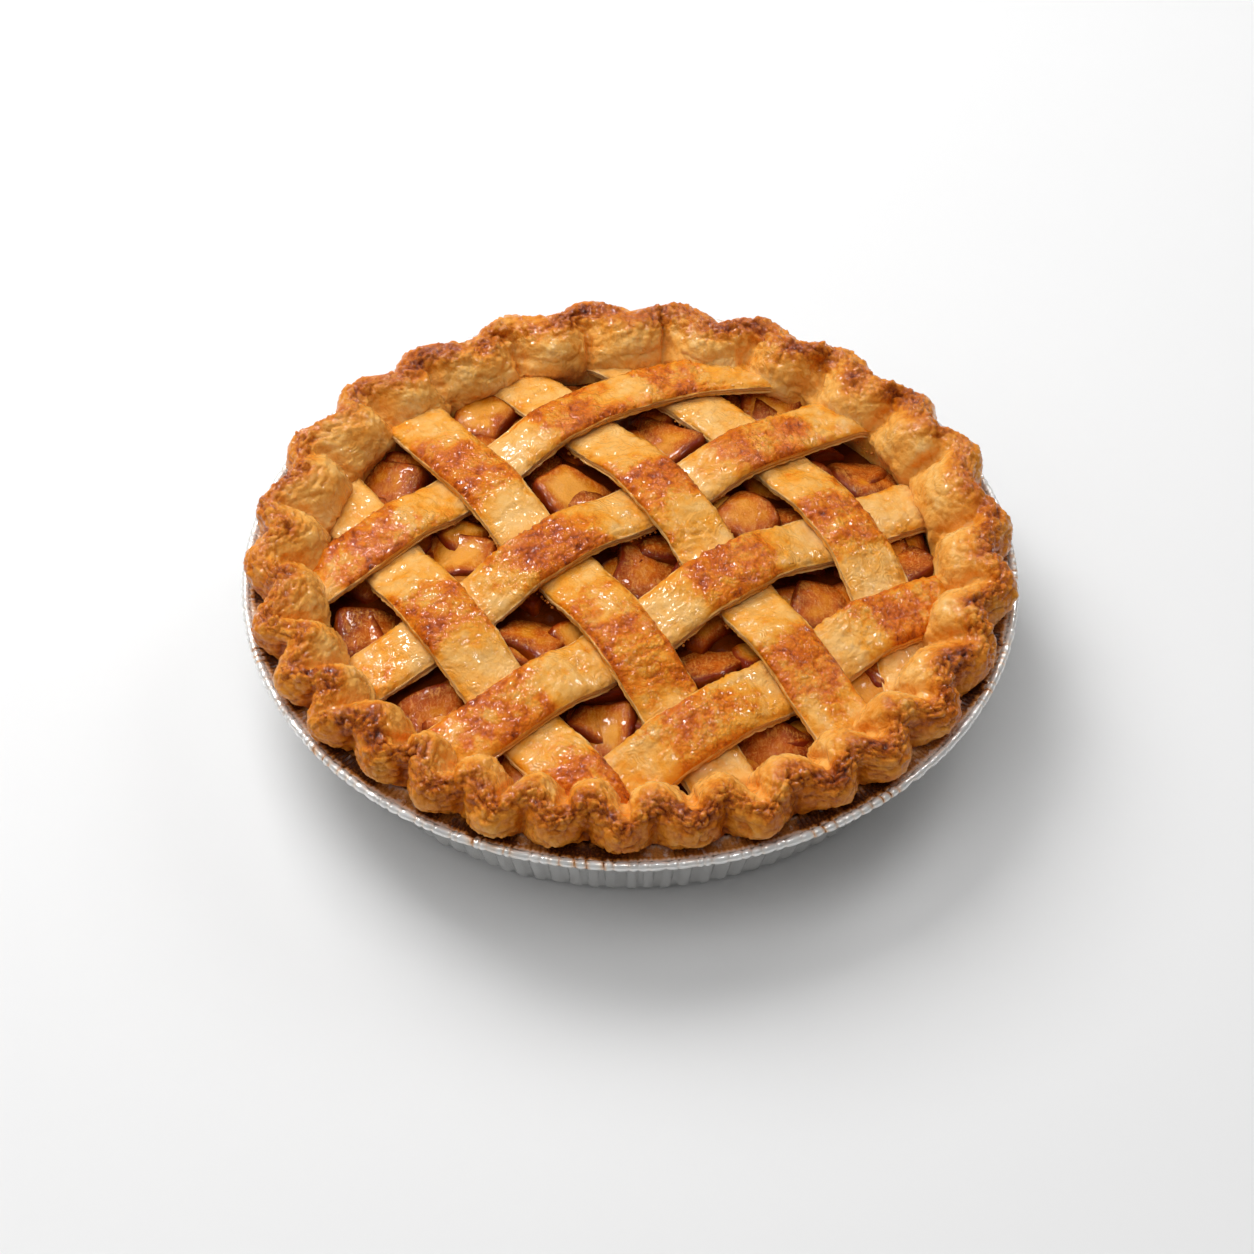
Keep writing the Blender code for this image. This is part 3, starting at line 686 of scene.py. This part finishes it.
def lattice_strip(strip, seed, material):
    """One strip of rolled dough, browned on its humps, layered at the sides and pressed at the ends."""
    outline, kind = strip_outline()
    miles = []
    dense = np.linspace(0, strip.mile[-1], 900)
    point, side = strip.at(dense)
    inset = BACK_INSET * back_share(point[:, 1] / np.linalg.norm(point, axis=1))
    for x in outline[:, 0]:
        place = point + side * (x * STRIP_WIDTH / 2)
        inside = dense[np.linalg.norm(place, axis=1) < STRIP_END_R - inset]
        miles.append((inside[0], inside[-1]))
    miles = np.array(miles)
    first, last = miles[:, 0], miles[:, 1]
    count = int((last - first).mean() / STRIP_STEP)
    share = np.linspace(0, 1, count)[:, None]
    # the ends lean with the round wall and the middle stays square
    lean = np.where(share < 0.5, (1 - smooth(0.0, END_SHARE, share)) * (first - first.mean()),
                    smooth(1 - END_SHARE, 1.0, share) * (last - last.mean()))
    mile = first.mean() + share * (last.mean() - first.mean()) + lean
    point, side = strip.at(mile)
    flat_walk = np.stack([mile, np.full_like(mile, seed * 0.31), np.zeros_like(mile)], -1)
    edge_wave = layered(flat_walk, 13 * MM, seed, 3) * 0.45 * MM
    is_side = (kind == SIDE)[None]
    top = (kind == TOP)[None]
    up = outline[None, :, 1]
    x = outline[None, :, 0] * (STRIP_WIDTH / 2)
    ragged = np.where(is_side & (up < -0.4), 0.25 * MM, 0.0)
    sign = np.sign(outline[None, :, 0])
    flank = np.stack([mile + 0.07 * sign, np.full_like(mile, seed * 0.17), np.zeros_like(mile)], -1)
    x = x + sign * np.abs(outline[None, :, 0]) * (0.6 * layered(flank, 16 * MM, seed + 3, 3) * MM
                                                  + ragged * noise(flank, 1.6 * MM, seed + 9))
    x = x + edge_wave
    place = point + side * x[..., None]
    radius = np.linalg.norm(place, axis=-1)
    hump, dip = strip.hump(mile), strip.dip(mile)
    # the last few millimetres are pressed down into the crust
    pressed = smooth(STRIP_END_R - 8.0 * MM, STRIP_END_R - 2.0 * MM,
                     radius + BACK_INSET * back_share(place[..., 1] / radius))
    mid = dome(radius) + WEAVE * strip.weave(mile) - PRESSED_IN * pressed
    puff = 1 + 0.16 * hump + 0.05 * layered(flat_walk, 20 * MM, seed + 30, 2)
    thick = STRIP_THICK / 2
    z = mid + np.where(up > 0, up * thick * puff, up * thick)
    points = np.stack([place[..., 0], place[..., 1], z], -1)
    normals = grid_normals(points, (False, True))
    if normals[count // 2, TOP_SAMPLES // 2, 2] < 0:
        normals = -normals

    # relief: blisters and wrinkles where the top has browned, baked layers on the cut sides
    along = np.stack([mile, x, np.full_like(mile, seed * 0.05)], -1)
    heat = 0.55 * layered(along, 15 * MM, seed + 50, 3)
    brown = np.clip(0.26 + 0.80 * hump - 0.45 * dip + heat, 0, 1)
    bend = along + 1.3 * MM * np.stack([layered(along, 5 * MM, seed + k, 2) for k in (60, 61, 62)], -1)
    wrinkle = 1 - 2 * np.abs(layered(bend * np.array([1.0, 0.62, 1.0]), 2.6 * MM, seed + 70, 2))
    nearest, _, _ = cells(bend, BUBBLE, seed + 80)
    blister = np.clip(1 - 1.35 * nearest, 0, 1) ** 1.2
    patch = smooth(0.32, 0.85, brown + 0.35 * layered(along, 6 * MM, seed + 90, 2))
    field = layered(along, 10 * MM, seed + 110, 2)
    rippled = smooth(-0.1, 0.35, layered(along, 14 * MM, seed + 120, 2) + 0.15)
    ripple = np.sin(2 * math.pi * 5.5 * field) * rippled
    crease = np.exp(-(layered(along, 12 * MM, seed + 130, 2) / 0.05) ** 2)
    drawn_out = bend * np.array([1.0, 0.7, 1.0])
    crackle = np.exp(-(layered(drawn_out, 3.6 * MM, seed + 160, 2) / 0.11) ** 2)
    top_lift = (0.25 + 0.75 * patch) * (0.30 * MM * wrinkle + 0.55 * MM * blister - 0.42 * MM * crackle)
    top_lift = top_lift + 0.50 * MM * layered(bend, 4 * MM, seed + 95, 3)
    top_lift = top_lift + 0.55 * MM * layered(along, 11 * MM, seed + 97, 2) + 0.24 * MM * ripple
    top_lift = top_lift - 0.35 * MM * crease * (1 - 0.6 * patch)
    layers = np.sin((up * 1.9 + 0.4 * noise(flank, 12 * MM, seed + 11)) * 2 * math.pi)
    chips = noise(np.stack(np.broadcast_arrays(mile, up * 3 * MM, sign * MM), -1), 1.3 * MM, seed + 13)
    side_lift = 0.28 * MM * layers + 0.12 * MM * chips
    lift = np.where(top, top_lift, np.where(is_side, side_lift, 0.0))
    points = points + normals * lift[..., None]

    # browning: golden with flames of brown on the humps and pale layers at the sides; the cracks, the
    # rounded edges and the foot of each cut side are painted darker as shade
    speck = layered(along, 2.2 * MM, seed + 101, 3)
    rim = smooth(0.72, 0.98, np.abs(outline[None, :, 0]))
    golden = np.clip(0.5 + 1.3 * layered(bend, 7 * MM, seed + 140, 3), 0, 1)
    flame = smooth(-0.22, 0.22, layered(drawn_out, 8 * MM, seed + 150, 3))
    # the crackle term is painted shade in the cracks
    bake = 0.10 + 0.30 * brown + 0.18 * patch * flame + (0.06 + 0.12 * patch) * crackle + 0.08 * speck
    # the rim term is painted shade on the rounded edges
    bake = bake + 0.16 * golden + 0.10 * rim
    # the last term is painted shade towards the foot of each cut side
    side_bake_and_painted_shade = 0.12 + 0.18 * hump + 0.08 * speck - 0.12 * layers + 0.12 * smooth(-0.3, -1.0, up)
    bake = np.where(is_side, side_bake_and_painted_shade, bake)
    dry = np.where(is_side, 0.9, np.clip(0.45 - 0.35 * brown, 0, 1))
    # close both ends
    columns = len(kind)
    faces = grid_quads(count, columns, (False, True)).tolist()
    faces.append(list(range(columns)))
    faces.append(list(range((count - 1) * columns, count * columns))[::-1])
    piece("lattice_" + strip.name, points, faces, material, "strip_" + strip.name,
          {"bake": bake, "dry": dry, "blister": np.where(is_side, 0.0, patch)})


# Filling

CHUNK_GRIDS = (19, 9)
LARGE_CHUNK = np.array([12.3, 10.2, 7.6])
SMALL_CHUNK = np.array([8.5, 7.0, 6.0])
# radius of each ring of small chunks in mm, and how many stand in it
CHUNK_RINGS = ((9, 3), (24, 8), (39, 12), (54, 17), (69, 21), (85, 27))
# how far the tops of the chunks lie below the middle of the lattice, in mm
LARGE_BELOW = (1.6, 3.2)
SMALL_BELOW = (3.4, 5.2)
SYRUP_BELOW = 8.4 * MM


def rounded_cube(n, power):
    """Points on a rounded cube with n x n points on each side, and its faces."""
    ticks = np.tan(np.linspace(-math.pi / 4, math.pi / 4, n))
    index, points = {}, []
    faces = []
    for axis in range(3):
        for sign in (-1, 1):
            ids = np.zeros((n, n), int)
            for i, u in enumerate(ticks):
                for j, v in enumerate(ticks):
                    p = [0.0, 0.0, 0.0]
                    p[axis] = sign
                    p[(axis + 1) % 3], p[(axis + 2) % 3] = u, v
                    key = tuple(round(c, 5) for c in p)
                    if key not in index:
                        index[key] = len(points)
                        points.append(p)
                    ids[i, j] = index[key]
            for i in range(n - 1):
                for j in range(n - 1):
                    quad = [ids[i, j], ids[i + 1, j], ids[i + 1, j + 1], ids[i, j + 1]]
                    faces.append(quad if sign > 0 else quad[::-1])
    points = np.array(points)
    points = points / (np.abs(points) ** power).sum(1, keepdims=True) ** (1 / power)
    return points, np.array(faces)


def turn_matrix(yaw, pitch, roll):
    """Turn about Y by roll, then about X by pitch, then about Z by yaw."""
    cos_yaw, sin_yaw = math.cos(yaw), math.sin(yaw)
    cos_pitch, sin_pitch = math.cos(pitch), math.sin(pitch)
    cos_roll, sin_roll = math.cos(roll), math.sin(roll)
    about_z = np.array([[cos_yaw, -sin_yaw, 0], [sin_yaw, cos_yaw, 0], [0, 0, 1]])
    about_x = np.array([[1, 0, 0], [0, cos_pitch, -sin_pitch], [0, sin_pitch, cos_pitch]])
    about_y = np.array([[cos_roll, 0, sin_roll], [0, 1, 0], [-sin_roll, 0, cos_roll]])
    return about_z @ about_x @ about_y


def apple_chunks(crossings, material):
    """Soft chunks of apple: a large one in each window of the lattice, small ones around them."""
    rng = np.random.default_rng(23)
    bases = [rounded_cube(grid, 9.0) for grid in CHUNK_GRIDS]
    centres = [np.mean([crossings[i + di, j + dj] for di in (0, 1) for dj in (0, 1)], axis=0)
               for i in range(3) for j in range(3)]
    centres += [EDGE_WINDOW_R * np.array([math.cos(math.radians(d)), math.sin(math.radians(d))])
                for d in EDGE_WINDOWS]
    main = len(centres)
    # smaller pieces between and under the strips fill what shows round the large ones
    for ring, count in CHUNK_RINGS:
        for k in range(count):
            a = 2 * math.pi * (k + rng.uniform(-0.25, 0.25)) / count
            centres.append((ring + rng.uniform(-3, 3)) * MM * np.array([math.cos(a), math.sin(a)]))
    all_points, all_faces, values = [], [], {"edge": [], "tone": [], "cut": []}
    start = 0
    for number, centre in enumerate(centres):
        large = number < main
        base, base_faces = bases[0 if large else 1]
        half = (LARGE_CHUNK * rng.uniform(0.88, 1.10, 3) if large
                else SMALL_CHUNK * rng.uniform(0.8, 1.15, 3)) * MM
        # a wedge: narrower at one end, one flank rounded like the outside of the fruit, a hollow cut
        taper = rng.uniform(0.10, 0.32)
        p = base.copy()
        p[:, 1] *= 1 - taper * p[:, 0]
        p[:, 1] += rng.uniform(-0.35, 0.35) * p[:, 0] ** 2
        p[:, 2] -= rng.uniform(-0.05, 0.30) * p[:, 0] ** 2 + rng.uniform(-0.15, 0.20) * p[:, 1] ** 2
        p = p * half
        near = np.sort(np.abs(base), axis=1)
        edge = smooth(0.80, 0.95, near[:, 1])
        cut = smooth(0.86, 0.98, np.abs(base[:, 2]))
        yaw = rng.uniform(0, 2 * math.pi)
        pitch, roll = rng.uniform(-0.34, 0.34), rng.uniform(-0.36, 0.36)
        p = p @ turn_matrix(yaw, pitch, roll).T
        radius = np.linalg.norm(centre)
        top = dome(radius) - rng.uniform(*(LARGE_BELOW if large else SMALL_BELOW)) * MM
        p = p + np.array([centre[0], centre[1], top - p[:, 2].max()])
        p = p + 0.60 * MM * np.stack([layered(p, 6 * MM, 200 + k, 3) for k in range(3)], -1)
        room = WELL_R - BACK_INSET * back_share(centre[1] / max(radius, MM)) + 1.5 * MM
        reach = np.linalg.norm(p[:, :2], axis=1)
        p[:, :2] *= np.minimum(1.0, room / np.maximum(reach, MM))[:, None]
        # painted shade: the further below the chunk's top, the darker
        depth = smooth(10 * MM, 1.5 * MM, top - p[:, 2])
        tone = rng.uniform(0.42, 0.95) * (0.30 + 0.70 * depth) * (0.66 + 0.34 * cut)
        tone = tone * (1.15 - 0.60 * smooth(0.25, 0.95, near[:, 1]))
        tone = tone + 0.22 * layered(p, 4.5 * MM, 300, 2)
        skin = smooth(0.80, 0.97, base[:, 1]) * rng.choice([0.0, 0.75])
        edge = np.maximum(edge * rng.uniform(0.70, 1.10), skin)
        edge = np.clip(edge * (1 + 0.8 * layered(p, 5 * MM, 310, 2)), 0, 1)
        all_points.append(p)
        all_faces.append(base_faces + start)
        for key, value in (("edge", edge), ("tone", tone), ("cut", cut)):
            values[key].append(value)
        start += len(p)
    values = {key: np.concatenate(value) for key, value in values.items()}
    piece("apple_chunks", np.concatenate(all_points), np.concatenate(all_faces), material,
          "filling", values)


def syrup_bed(material):
    """The pool of syrup that the chunks stand in."""
    rings, steps = 90, 300
    share = np.linspace(0.0, 1.0, rings)[:, None]
    a = np.linspace(0, 2 * math.pi, steps, endpoint=False)[None]
    r = share * (LATTICE_R + 0.4 * MM - BACK_INSET * 0.6 * back_share(np.sin(a)))
    flat = np.stack([r * np.cos(a), r * np.sin(a), np.zeros_like(r)], -1)
    z = dome(r) - SYRUP_BELOW + 1.1 * MM * layered(flat, 7 * MM, 7, 4, 0.6)
    points = np.stack([flat[..., 0], flat[..., 1], z], -1)
    piece("syrup_bed", points, grid_quads(rings, steps, (False, True)), material, "filling")


def ball(divisions):
    """A small round mesh: points and faces."""
    rings, steps = divisions, divisions * 2
    lat = np.linspace(0, math.pi, rings)[:, None]
    lon = np.linspace(0, 2 * math.pi, steps, endpoint=False)[None]
    points = np.stack([np.sin(lat) * np.cos(lon), np.sin(lat) * np.sin(lon), np.cos(lat) + 0 * lon], -1)
    return points.reshape(-1, 3), grid_quads(rings, steps, (False, True))


def syrup_beads(rows, columns, material):
    """Beads of boiled syrup along the foot of the crust and along the strips' lower edges."""
    rng = np.random.default_rng(31)
    shape, shape_faces = ball(6)
    spots = []
    degrees = 0.0
    while degrees < 360.0:
        degrees += rng.uniform(0.25, 1.6)
        rad = math.radians(degrees)
        foot = np.array([[math.cos(rad) * 0.09, math.sin(rad) * 0.09, 0.0]])
        if noise(foot, 12 * MM, 5)[0] < -0.15:
            continue
        r = WELL_R - BACK_INSET * float(back_share(math.sin(rad))) - rng.uniform(0.0, 0.7) * MM
        spots.append((r * math.cos(rad), r * math.sin(rad), dome(r) - rng.uniform(1.6, 4.6) * MM,
                      rng.uniform(0.25, 0.62) * MM))
    for strip in rows + columns:
        for sign in (-1, 1):
            mile = 12 * MM
            while mile < strip.mile[-1] - 12 * MM:
                mile += rng.uniform(0.5, 2.6) * MM
                m = np.array([mile])
                point, side = strip.at(m)
                p = point[0] + side[0] * sign * (STRIP_WIDTH / 2 + rng.uniform(0.1, 0.7) * MM)
                r = np.linalg.norm(p)
                crowd = noise(np.array([[p[0], p[1], sign * MM]]), 9 * MM, 6)[0]
                if r > LATTICE_R - 2 * MM or crowd < 0.3:
                    continue
                bottom = dome(r) + WEAVE * float(strip.weave(m)[0]) - STRIP_THICK / 2
                if bottom > dome(r) - 2.6 * MM:
                    continue
                spots.append((p[0], p[1], bottom + rng.uniform(-0.6, 0.5) * MM,
                              rng.uniform(0.22, 0.55) * MM))
    all_points, all_faces = [], []
    for k, (x, y, z, size) in enumerate(spots):
        all_points.append(shape * size * np.array([1, 1, 0.8]) + np.array([x, y, z]))
        all_faces.append(shape_faces + k * len(shape))
    piece("syrup_beads", np.concatenate(all_points), np.concatenate(all_faces), material,
          "filling")


# Foil tin

WALL_TOP = 35.2 * MM
PLEAT_STEPS = 9
RIBS = PLEATS * 4
RIB_STEPS = 4
CRIMPS = 212
WANDERS = 200
SHEET = 0.12 * MM
# parts of the rim from the mouth of the tin outwards
MOUTH, FLANGE, BEAD = 0, 1, 2
BEAD_ROWS = 18


def tin_wall(material):
    """Flat base and pleated wall."""
    steps = PLEATS * PLEAT_STEPS
    a = np.arange(steps) * 2 * math.pi / steps
    pleat = a * PLEATS / (2 * math.pi)
    rng = np.random.default_rng(3)
    depth = 1 + 0.25 * round_table(rng.uniform(-1, 1, PLEATS), pleat)
    shift = 0.12 * round_table(rng.uniform(-1, 1, PLEATS), pleat)
    fold = np.abs(((pleat + shift) % 1.0) * 2 - 1)
    fold = smooth(0.25, 0.65, fold) * depth
    zs = np.concatenate([[0.0, 0.0, 0.4, 1.2], np.linspace(2.4, 35.2, 14)]) * MM
    flat_r = np.interp(zs, [0, 1.2 * MM, 2.4 * MM, WALL_TOP],
                       [TIN_BASE_R - 2.0 * MM, TIN_BASE_R - 0.6 * MM, TIN_BASE_R, TIN_MOUTH_R])
    flat_r[0] = 0.0
    rise = np.interp(zs, [0.4 * MM, 3 * MM, WALL_TOP], [0.0, 1.3 * MM, 2.1 * MM])
    rise[0] = 0.0
    r = flat_r[:, None] + rise[:, None] * fold[None]
    b = a[None]
    points = np.stack([r * np.cos(b), r * np.sin(b), zs[:, None] + 0 * r], -1)
    dents = layered(points, 16 * MM, 15, 2)[..., None] * 0.25 * MM
    outward = np.stack([np.cos(b) + 0 * r, np.sin(b) + 0 * r, 0 * r], -1)
    points = points + outward * dents * smooth(0.5 * MM, 6 * MM, zs)[:, None, None]
    piece("tin_wall", points[::-1], grid_quads(len(zs), steps, (False, True)), material,
          "foil_tin", {"stain": np.zeros(points.shape[:2])})


def tin_rim(material):
    """Ribbed flange and the rolled, crimped bead."""
    steps = RIBS * RIB_STEPS
    a = np.arange(steps) * 2 * math.pi / steps
    rib = a * RIBS / (2 * math.pi)
    rng = np.random.default_rng(4)
    wander = round_table(rng.uniform(-1, 1, WANDERS), a * WANDERS / (2 * math.pi))
    fold = np.cos(2 * math.pi * (rib + 0.35 * wander))
    fold = fold * (0.7 + 0.3 * round_table(rng.uniform(-1, 1, RIBS), rib))
    centre_r, centre_z = TIN_RIM_R - BEAD_R, TIN_HEIGHT - 0.35 * MM
    # from inside the case's edge out over the flange, round the bead and back under it to the wall
    before = [(TIN_MOUTH_R - 4 * MM, TIN_HEIGHT - 5.0 * MM, MOUTH),
              (TIN_MOUTH_R - 0.4 * MM, TIN_HEIGHT - 0.5 * MM, MOUTH)]
    for share in np.linspace(0.0, 1.0, 5):
        before.append((TIN_MOUTH_R + 1.0 * MM + share * (centre_r - BEAD_R - TIN_MOUTH_R - 1.2 * MM),
                       TIN_HEIGHT - 0.35 * MM * math.sin(math.pi * share), FLANGE))
    bead = [(centre_r + BEAD_R * math.cos(turn), centre_z + BEAD_R * math.sin(turn), BEAD)
            for turn in (math.radians(degrees) for degrees in np.linspace(160, -235, BEAD_ROWS))]
    after = [(centre_r - BEAD_R - 0.6 * MM, TIN_HEIGHT - SHEET - 0.5 * MM, FLANGE),
             (TIN_MOUTH_R + 0.8 * MM, TIN_HEIGHT - SHEET - 0.6 * MM, FLANGE)]
    rows = np.array(before + bead + after)
    row_r, row_z, part = (rows[:, k][:, None] for k in range(3))
    on_flange, on_bead = part == FLANGE, part == BEAD
    b = a[None]
    r = row_r + 0 * b
    z = row_z + 0 * b + np.where(on_flange, 0.30 * MM * fold[None], 0.0)
    # crimps: the bead is pinched in between them, and each one is tilted a little its own way
    lean = np.concatenate([np.zeros(len(before)), np.linspace(0, 0.4, BEAD_ROWS), np.zeros(len(after))])
    crimp = b * CRIMPS / (2 * math.pi) + lean[:, None] + 0.5 * wander[None]
    strength = round_table(rng.uniform(0.35, 1, CRIMPS), crimp + 0.5)
    pinch = np.abs(np.sin(math.pi * crimp)) ** 0.42
    tilt = rng.uniform(-1, 1, CRIMPS)[np.floor(crimp).astype(int) % CRIMPS]
    scale = 1.0 - 0.55 * strength * (1 - pinch) + 0.30 * tilt * (crimp % 1.0 - 0.5)
    r = np.where(on_bead, centre_r + (r - centre_r) * scale, r)
    z = np.where(on_bead, centre_z + (z - centre_z) * scale, z)
    points = np.stack([r * np.cos(b), r * np.sin(b), z], -1)
    points[..., 2] += layered(points, 30 * MM, 71, 2) * 0.25 * MM
    # juice baked on against the inside of the bead, painted shade in the bead's cracks and the flange's
    # rib valleys, and golden-brown over the flange, heavier at the front, partly juice and partly a
    # painted reflection of the crust
    inner_edge = np.exp(-((row_r - (centre_r - BEAD_R - 0.2 * MM)) / (1.0 * MM)) ** 2)
    upper = np.where(row_z > centre_z - 0.6 * MM, 1.0, 0.4)
    patches = smooth(-0.25, 0.35, layered(points, 14 * MM, 81, 3))
    front = smooth(0.5, -0.7, np.sin(b))
    puddles_and_reflection = smooth(-0.4, 0.4, layered(points, 9 * MM, 82, 3) + 0.3 * front)
    stain = inner_edge * upper * (0.70 + 0.60 * patches)
    # painted shade in the bead's pinched cracks
    stain = stain + on_bead * 1.7 * (1 - pinch) * (0.12 + 0.88 * patches ** 2) * strength
    # golden-brown on the flange, heavier at the front: partly baked-on juice, partly a painted
    # reflection of the crust
    stain = stain + on_flange * (0.10 + 0.20 * front) * puddles_and_reflection
    # painted shade in the valleys between the flange's ribs
    stain = stain + on_flange * (0.08 + 0.16 * front) * smooth(0.1, -0.9, fold[None])
    piece("tin_rim", points[::-1], grid_quads(len(rows), steps, (False, True)), material,
          "foil_tin", {"stain": np.clip(stain, 0, 1)})


# Stage

FLOOR_REACH = 12.0
SKY_LOW = 0.12
SKY_HIGH = 0.26
LAMP_AIM = Vector((0, 0, 0.03))
# name, place, size, watts, and whether it is a small lamp that only gives glints in the glaze, the syrup
# and the foil, or a broad one for the soft shading
LAMPS = (
    ("key", (-0.55, 0.75, 1.05), 0.85, 16.6, False),
    ("edge", (0.75, 0.80, 0.95), 0.5, 3.2, False),
    ("top", (-0.15, -0.25, 1.40), 1.0, 5.2, False),
    ("fill", (-0.9, -0.5, 1.0), 0.8, 2.2, False),
    ("key_glint", (-0.50, 0.70, 1.00), 0.20, 10.5, True),
    ("edge_glint", (0.70, 0.75, 0.95), 0.14, 3.4, True),
    ("back_glint", (0.05, 0.95, 1.10), 0.13, 2.8, True),
    ("side_glint", (-0.85, 0.20, 1.00), 0.14, 3.2, True),
    ("top_glint", (0.10, -0.15, 1.30), 0.13, 2.4, True),
)


def place_floor():
    """A plain, matt, very pale floor."""
    mesh = bpy.data.meshes.new("floor")
    corners = [(x * FLOOR_REACH, y * FLOOR_REACH, 0) for x, y in ((-1, -1), (1, -1), (1, 1), (-1, 1))]
    mesh.from_pydata(corners, [], [(0, 1, 2, 3)])
    material, _, shader = blank("floor")
    fill(shader, Base_Color=linear("#e8e8e8"), Roughness=0.9, Specular_IOR_Level=0.2)
    mesh.materials.append(material)
    floor = bpy.data.objects.new("floor", mesh)
    bpy.context.scene.collection.objects.link(floor)


def light_scene():
    """Even studio light: a white surround, brighter overhead, and the lamps."""
    world = bpy.data.worlds.new("studio")
    world.use_nodes = True
    tree = world.node_tree
    place = add(tree, "TexCoord", {}, out="Generated")
    height = add(tree, "SeparateXYZ", {}, place, out="Z")
    glow = add(tree, "MapRange", {}, height, To_Min=SKY_LOW, To_Max=SKY_HIGH)
    fill(tree.nodes["Background"], Color=(1, 1, 1, 1), Strength=glow)
    bpy.context.scene.world = world
    for name, place, size, power, glint in LAMPS:
        light = bpy.data.lights.new(name, "AREA")
        light.shape = "SQUARE"
        light.size = size
        light.energy = power
        lamp = bpy.data.objects.new(name, light)
        lamp.location = place
        lamp.visible_glossy = glint
        lamp.visible_diffuse = not glint
        lamp.rotation_euler = (LAMP_AIM - Vector(place)).to_track_quat("-Z", "Y").to_euler()
        bpy.context.scene.collection.objects.link(lamp)


def place_camera():
    """A plain lens without blur, aimed at the front half of the pie."""
    lens = bpy.data.cameras.new("camera")
    lens.sensor_width = SENSOR_MM
    lens.lens = FOCAL_PIXELS / FRAME_PIXELS * SENSOR_MM
    lens.clip_start = 0.01
    camera = bpy.data.objects.new("camera", lens)
    tilt = math.radians(VIEW_TILT)
    camera.location = VIEW_TARGET + Vector((0, -math.cos(tilt), math.sin(tilt))) * VIEW_DISTANCE
    camera.rotation_euler = (math.pi / 2 - tilt, 0, 0)
    bpy.context.scene.collection.objects.link(camera)
    bpy.context.scene.camera = camera
    bpy.context.scene.view_settings.view_transform = "Standard"


# The whole pie

place_floor()
light_scene()
place_camera()
crust(pastry("crust_pastry", CRUST_STOPS, gloss=0.36, mottle=0.17))
rows, columns, crossings = weave_strips()
strip_pastry = pastry("lattice_pastry", LATTICE_STOPS, gloss=0.30, mottle=0.10)
for number, strip in enumerate(rows + columns):
    lattice_strip(strip, 400 + 37 * number, strip_pastry)
apple_chunks(crossings, apple_flesh())
syrup_bed(syrup("syrup", "#3a1200", "#742e06", 0.14))
syrup_beads(rows, columns, syrup("syrup_bead", "#a4500f", "#d98a3a", 0.08))
# the rim's copy of the foil is less metallic so the broad lamps light it: a lit copy of the same foil,
# brighter than the wall
tin_wall(foil("foil_wall", 0.85))
tin_rim(foil("foil_rim", 0.35))
